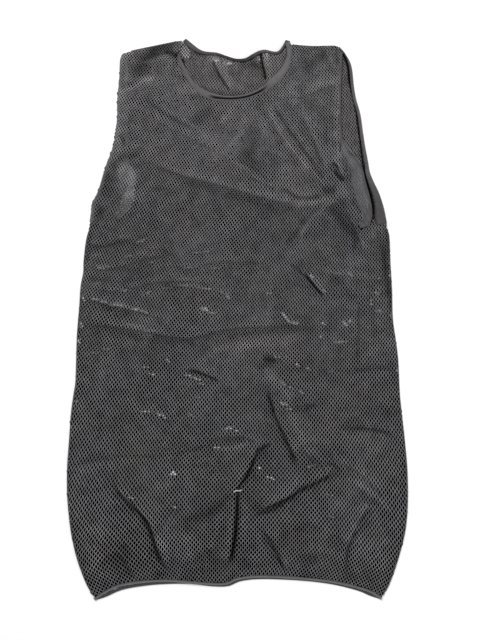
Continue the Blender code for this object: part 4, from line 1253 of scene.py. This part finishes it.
def knit_material(name, dark, light, wale=0.00115, course=0.0009):
    """Fine plain knit: columns of small V stitches along the band."""
    mat, nt, bsdf = new_material(name)
    link = nt.links.new
    uv = node(nt, "ShaderNodeUVMap", uv_map="knit")
    sep = node(nt, "ShaderNodeSeparateXYZ")
    link(uv.outputs["UV"], sep.inputs[0])

    def m(op, a, b=None, c=None):
        n = node(nt, "ShaderNodeMath", operation=op)
        for i, v in enumerate((a, b, c)):
            if v is None:
                continue
            if isinstance(v, (int, float)):
                n.inputs[i].default_value = v
            else:
                link(v, n.inputs[i])
        return n.outputs[0]

    across = m("DIVIDE", sep.outputs["Y"], wale)
    fold = m("ABSOLUTE", m("SUBTRACT", m("FRACT", across), 0.5))       # 0 at a wale's middle, 0.5 at its edge
    row = m("ADD", m("DIVIDE", sep.outputs["X"], course), m("MULTIPLY", fold, 1.5))
    leg = m("ABSOLUTE", m("SUBTRACT", m("FRACT", row), 0.5))
    v_height = m("MULTIPLY", m("SUBTRACT", 1.0, m("MULTIPLY", leg, 1.7)), m("SUBTRACT", 1.0, m("MULTIPLY", m("POWER", fold, 2.0), 2.4)))
    coord = node(nt, "ShaderNodeTexCoord")
    mottle = node(nt, "ShaderNodeTexNoise", Scale=110.0, Detail=4.0, Roughness=0.6)
    fibre = node(nt, "ShaderNodeTexNoise", Scale=2600.0, Detail=2.0)
    link(coord.outputs["Object"], mottle.inputs["Vector"])
    link(coord.outputs["Object"], fibre.inputs["Vector"])
    # the stitch crowns are coloured lighter and the grooves between them darker, as painted light and shade, besides
    # mottle and fibres
    f = m("MULTIPLY_ADD", v_height, 0.45, m("MULTIPLY_ADD", mottle.outputs["Fac"], 0.45, m("MULTIPLY", fibre.outputs["Fac"], 0.18)))
    ramp = node(nt, "ShaderNodeValToRGB")
    ramp.color_ramp.elements[0].position = 0.25
    ramp.color_ramp.elements[0].color = (*dark, 1)
    ramp.color_ramp.elements[1].position = 0.85
    ramp.color_ramp.elements[1].color = (*light, 1)
    link(f, ramp.inputs["Fac"])
    # the point attribute carries the band's painted light and shade and scales colour, sheen and specular
    att = node(nt, "ShaderNodeAttribute", attribute_name="tone_and_shade")
    mul = node(nt, "ShaderNodeVectorMath", operation="SCALE")
    link(ramp.outputs["Color"], mul.inputs[0])
    link(att.outputs["Fac"], mul.inputs["Scale"])
    link(mul.outputs[0], bsdf.inputs["Base Color"])
    link(m("MULTIPLY", att.outputs["Fac"], 0.25), bsdf.inputs["Sheen Weight"])
    link(m("MULTIPLY", att.outputs["Fac"], 0.25), bsdf.inputs["Specular IOR Level"])
    r = node(nt, "ShaderNodeMapRange")
    r.inputs["To Min"].default_value = 0.92
    r.inputs["To Max"].default_value = 0.74
    link(v_height, r.inputs["Value"])
    link(r.outputs["Result"], bsdf.inputs["Roughness"])
    b = node(nt, "ShaderNodeBump", Strength=0.6, Distance=0.00025)
    link(m("MULTIPLY_ADD", fibre.outputs["Fac"], 0.25, v_height), b.inputs["Height"])
    link(b.outputs["Normal"], bsdf.inputs["Normal"])
    bsdf.inputs["Sheen Roughness"].default_value = 0.5
    bsdf.inputs["Sheen Tint"].default_value = (0.75, 0.74, 0.76, 1)
    return mat


net_front_mat = yarn_material("mesh_yarn_front", (0.187, 0.185, 0.190), (0.652, 0.645, 0.662), tone_and_shade=True, flank_shade=0.012)
# the back's yarn is the front's yarn, given a darker colour as painted shade
net_back_shaded_mat = yarn_material("mesh_yarn_back_shaded", (0.130, 0.126, 0.126), (0.420, 0.409, 0.406), tone_and_shade=True, flank_shade=0.045)
band_mat = knit_material("binding_knit", (0.062, 0.059, 0.062), (0.150, 0.144, 0.149))
thread_mat = yarn_material("sewing_thread", (0.042, 0.039, 0.041), (0.080, 0.075, 0.078), fibre=3200.0, sheen=0.15, bump=0.25)
pale_mat = yarn_material("pale_yarn", (0.52, 0.49, 0.44), (0.86, 0.84, 0.78), fibre=2600.0, bump=0.25)


def give(ob, mat, slot, *nodes):
    ob.data.materials.clear()
    ob.data.materials.append(mat)
    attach(ob, "root")
    if nodes:
        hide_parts(*nodes)


for i, ob in enumerate(front_net):
    give(ob, net_front_mat, "mesh_knit", *(["front_panel"] if i == 0 else []))
for i, ob in enumerate(back_net):
    give(ob, net_back_shaded_mat, "mesh_knit", *(["back_panel"] if i == 0 else []))
for key, ob in bands.items():
    give(ob, band_mat, "binding_knit", key)
for key, ob in rows.items():
    give(ob, thread_mat, "seam_thread", key)
for key, (core, loops) in seams.items():
    give(core, thread_mat, "seam_thread", key)
    give(loops, thread_mat, "seam_thread")
give(loose, pale_mat, "pale_yarn", "loose_yarn_end")
give(loose_knot, pale_mat, "pale_yarn")


# ------------------------------------------------------------------- sheets
def poly_area(p):
    x, y = p[:, 0], p[:, 1]
    return 0.5 * abs(np.dot(x, np.roll(y, -1)) - np.dot(y, np.roll(x, -1)))


def declare_net(pieces, outline_poly):
    """Reads the vertices of each piece of a net, the part of its panel between two wales; nothing is kept."""
    for ob in pieces:
        co = np.empty(len(ob.data.vertices) * 3)
        ob.data.vertices.foreach_get("co", co)
        co = co.reshape(-1, 3)


declare_net(front_net, FRONT)
declare_net(back_net, BACK)
for key, path, w in (("neck_binding_front", front_neck, NECK_F_W), ("neck_binding_back", back_neck, NECK_B_W),
                     ("armhole_binding_right_front", RF_EDGE, RF_W), ("armhole_binding_right_back", arm_rb, rb_w),
                     ("armhole_binding_left_front", arm_lf, lf_w), ("armhole_binding_left_back", lb_path, lb_w),
                     ("hem_binding_front", hem_f, HEM_W), ("hem_binding_back", hem_b, HEM_W)):
    mean_w = float(np.mean(np.broadcast_to(w, len(path))))
    # finished width plus the turn at both edges, on a strip at least 10 mm wide
    cut = mean_w + 0.0016
    strip = max(cut, 0.0101)

# -------------------------------------------------- floor, light and camera
bpy.ops.mesh.primitive_plane_add(size=12.0, location=(0, 0, FLOOR - 0.0002))
floor = bpy.context.object
floor.name = "studio_floor"
fmat, nt, bsdf = new_material("studio_floor")
n1 = node(nt, "ShaderNodeTexNoise", Scale=6.0, Detail=3.0)
fr = node(nt, "ShaderNodeValToRGB")
fr.color_ramp.elements[0].color = (0.945, 0.945, 0.945, 1)
fr.color_ramp.elements[1].color = (0.970, 0.970, 0.970, 1)
fc = node(nt, "ShaderNodeTexCoord")
nt.links.new(fc.outputs["Object"], n1.inputs["Vector"])
nt.links.new(n1.outputs["Fac"], fr.inputs["Fac"])
nt.links.new(fr.outputs["Color"], bsdf.inputs["Base Color"])
bsdf.inputs["Roughness"].default_value = 0.9
bsdf.inputs["Specular IOR Level"].default_value = 0.1
floor.data.materials.append(fmat)


def area_light(name, loc, aim, size, power, colour=(1, 1, 1)):
    data = bpy.data.lights.new(name, "AREA")
    data.shape = "DISK"
    data.size = size
    data.energy = power
    data.color = colour
    ob = bpy.data.objects.new(name, data)
    bpy.context.scene.collection.objects.link(ob)
    ob.location = loc
    ob.rotation_euler = (Vector(aim) - Vector(loc)).to_track_quat("-Z", "Y").to_euler()
    return ob


area_light("key", (-0.9, 1.5, 2.4), (0, 0.05, 0), 1.2, 62.0, (1.0, 0.99, 0.98))
area_light("fill", (1.6, -0.6, 2.2), (0, 0, 0), 1.8, 22.0, (0.97, 0.98, 1.0))
world = bpy.data.worlds.new("studio")
world.use_nodes = True
world.node_tree.nodes["Background"].inputs["Color"].default_value = (0.995, 0.998, 1.0, 1)
world.node_tree.nodes["Background"].inputs["Strength"].default_value = 0.42
bpy.context.scene.world = world

cam_data = bpy.data.cameras.new("camera")
cam_data.sensor_fit = "VERTICAL"
cam_data.sensor_height = 36.0
cam_data.lens = 85.0
cam_data.clip_end = 50.0
cam = bpy.data.objects.new("camera", cam_data)
bpy.context.scene.collection.objects.link(cam)
FRAME_H = 640 * UNIT
DIST = FRAME_H * 85.0 / 36.0
cam.location = (X0 + 2.5 * UNIT, -0.5 * UNIT + 0.0005, 0.004 + DIST)
cam.rotation_euler = (0, 0, 0)
bpy.context.scene.camera = cam
scene = bpy.context.scene
scene.view_settings.view_transform = "Standard"
scene.view_settings.look = "None"
scene.view_settings.exposure = 0.0
scene.view_settings.gamma = 1.0
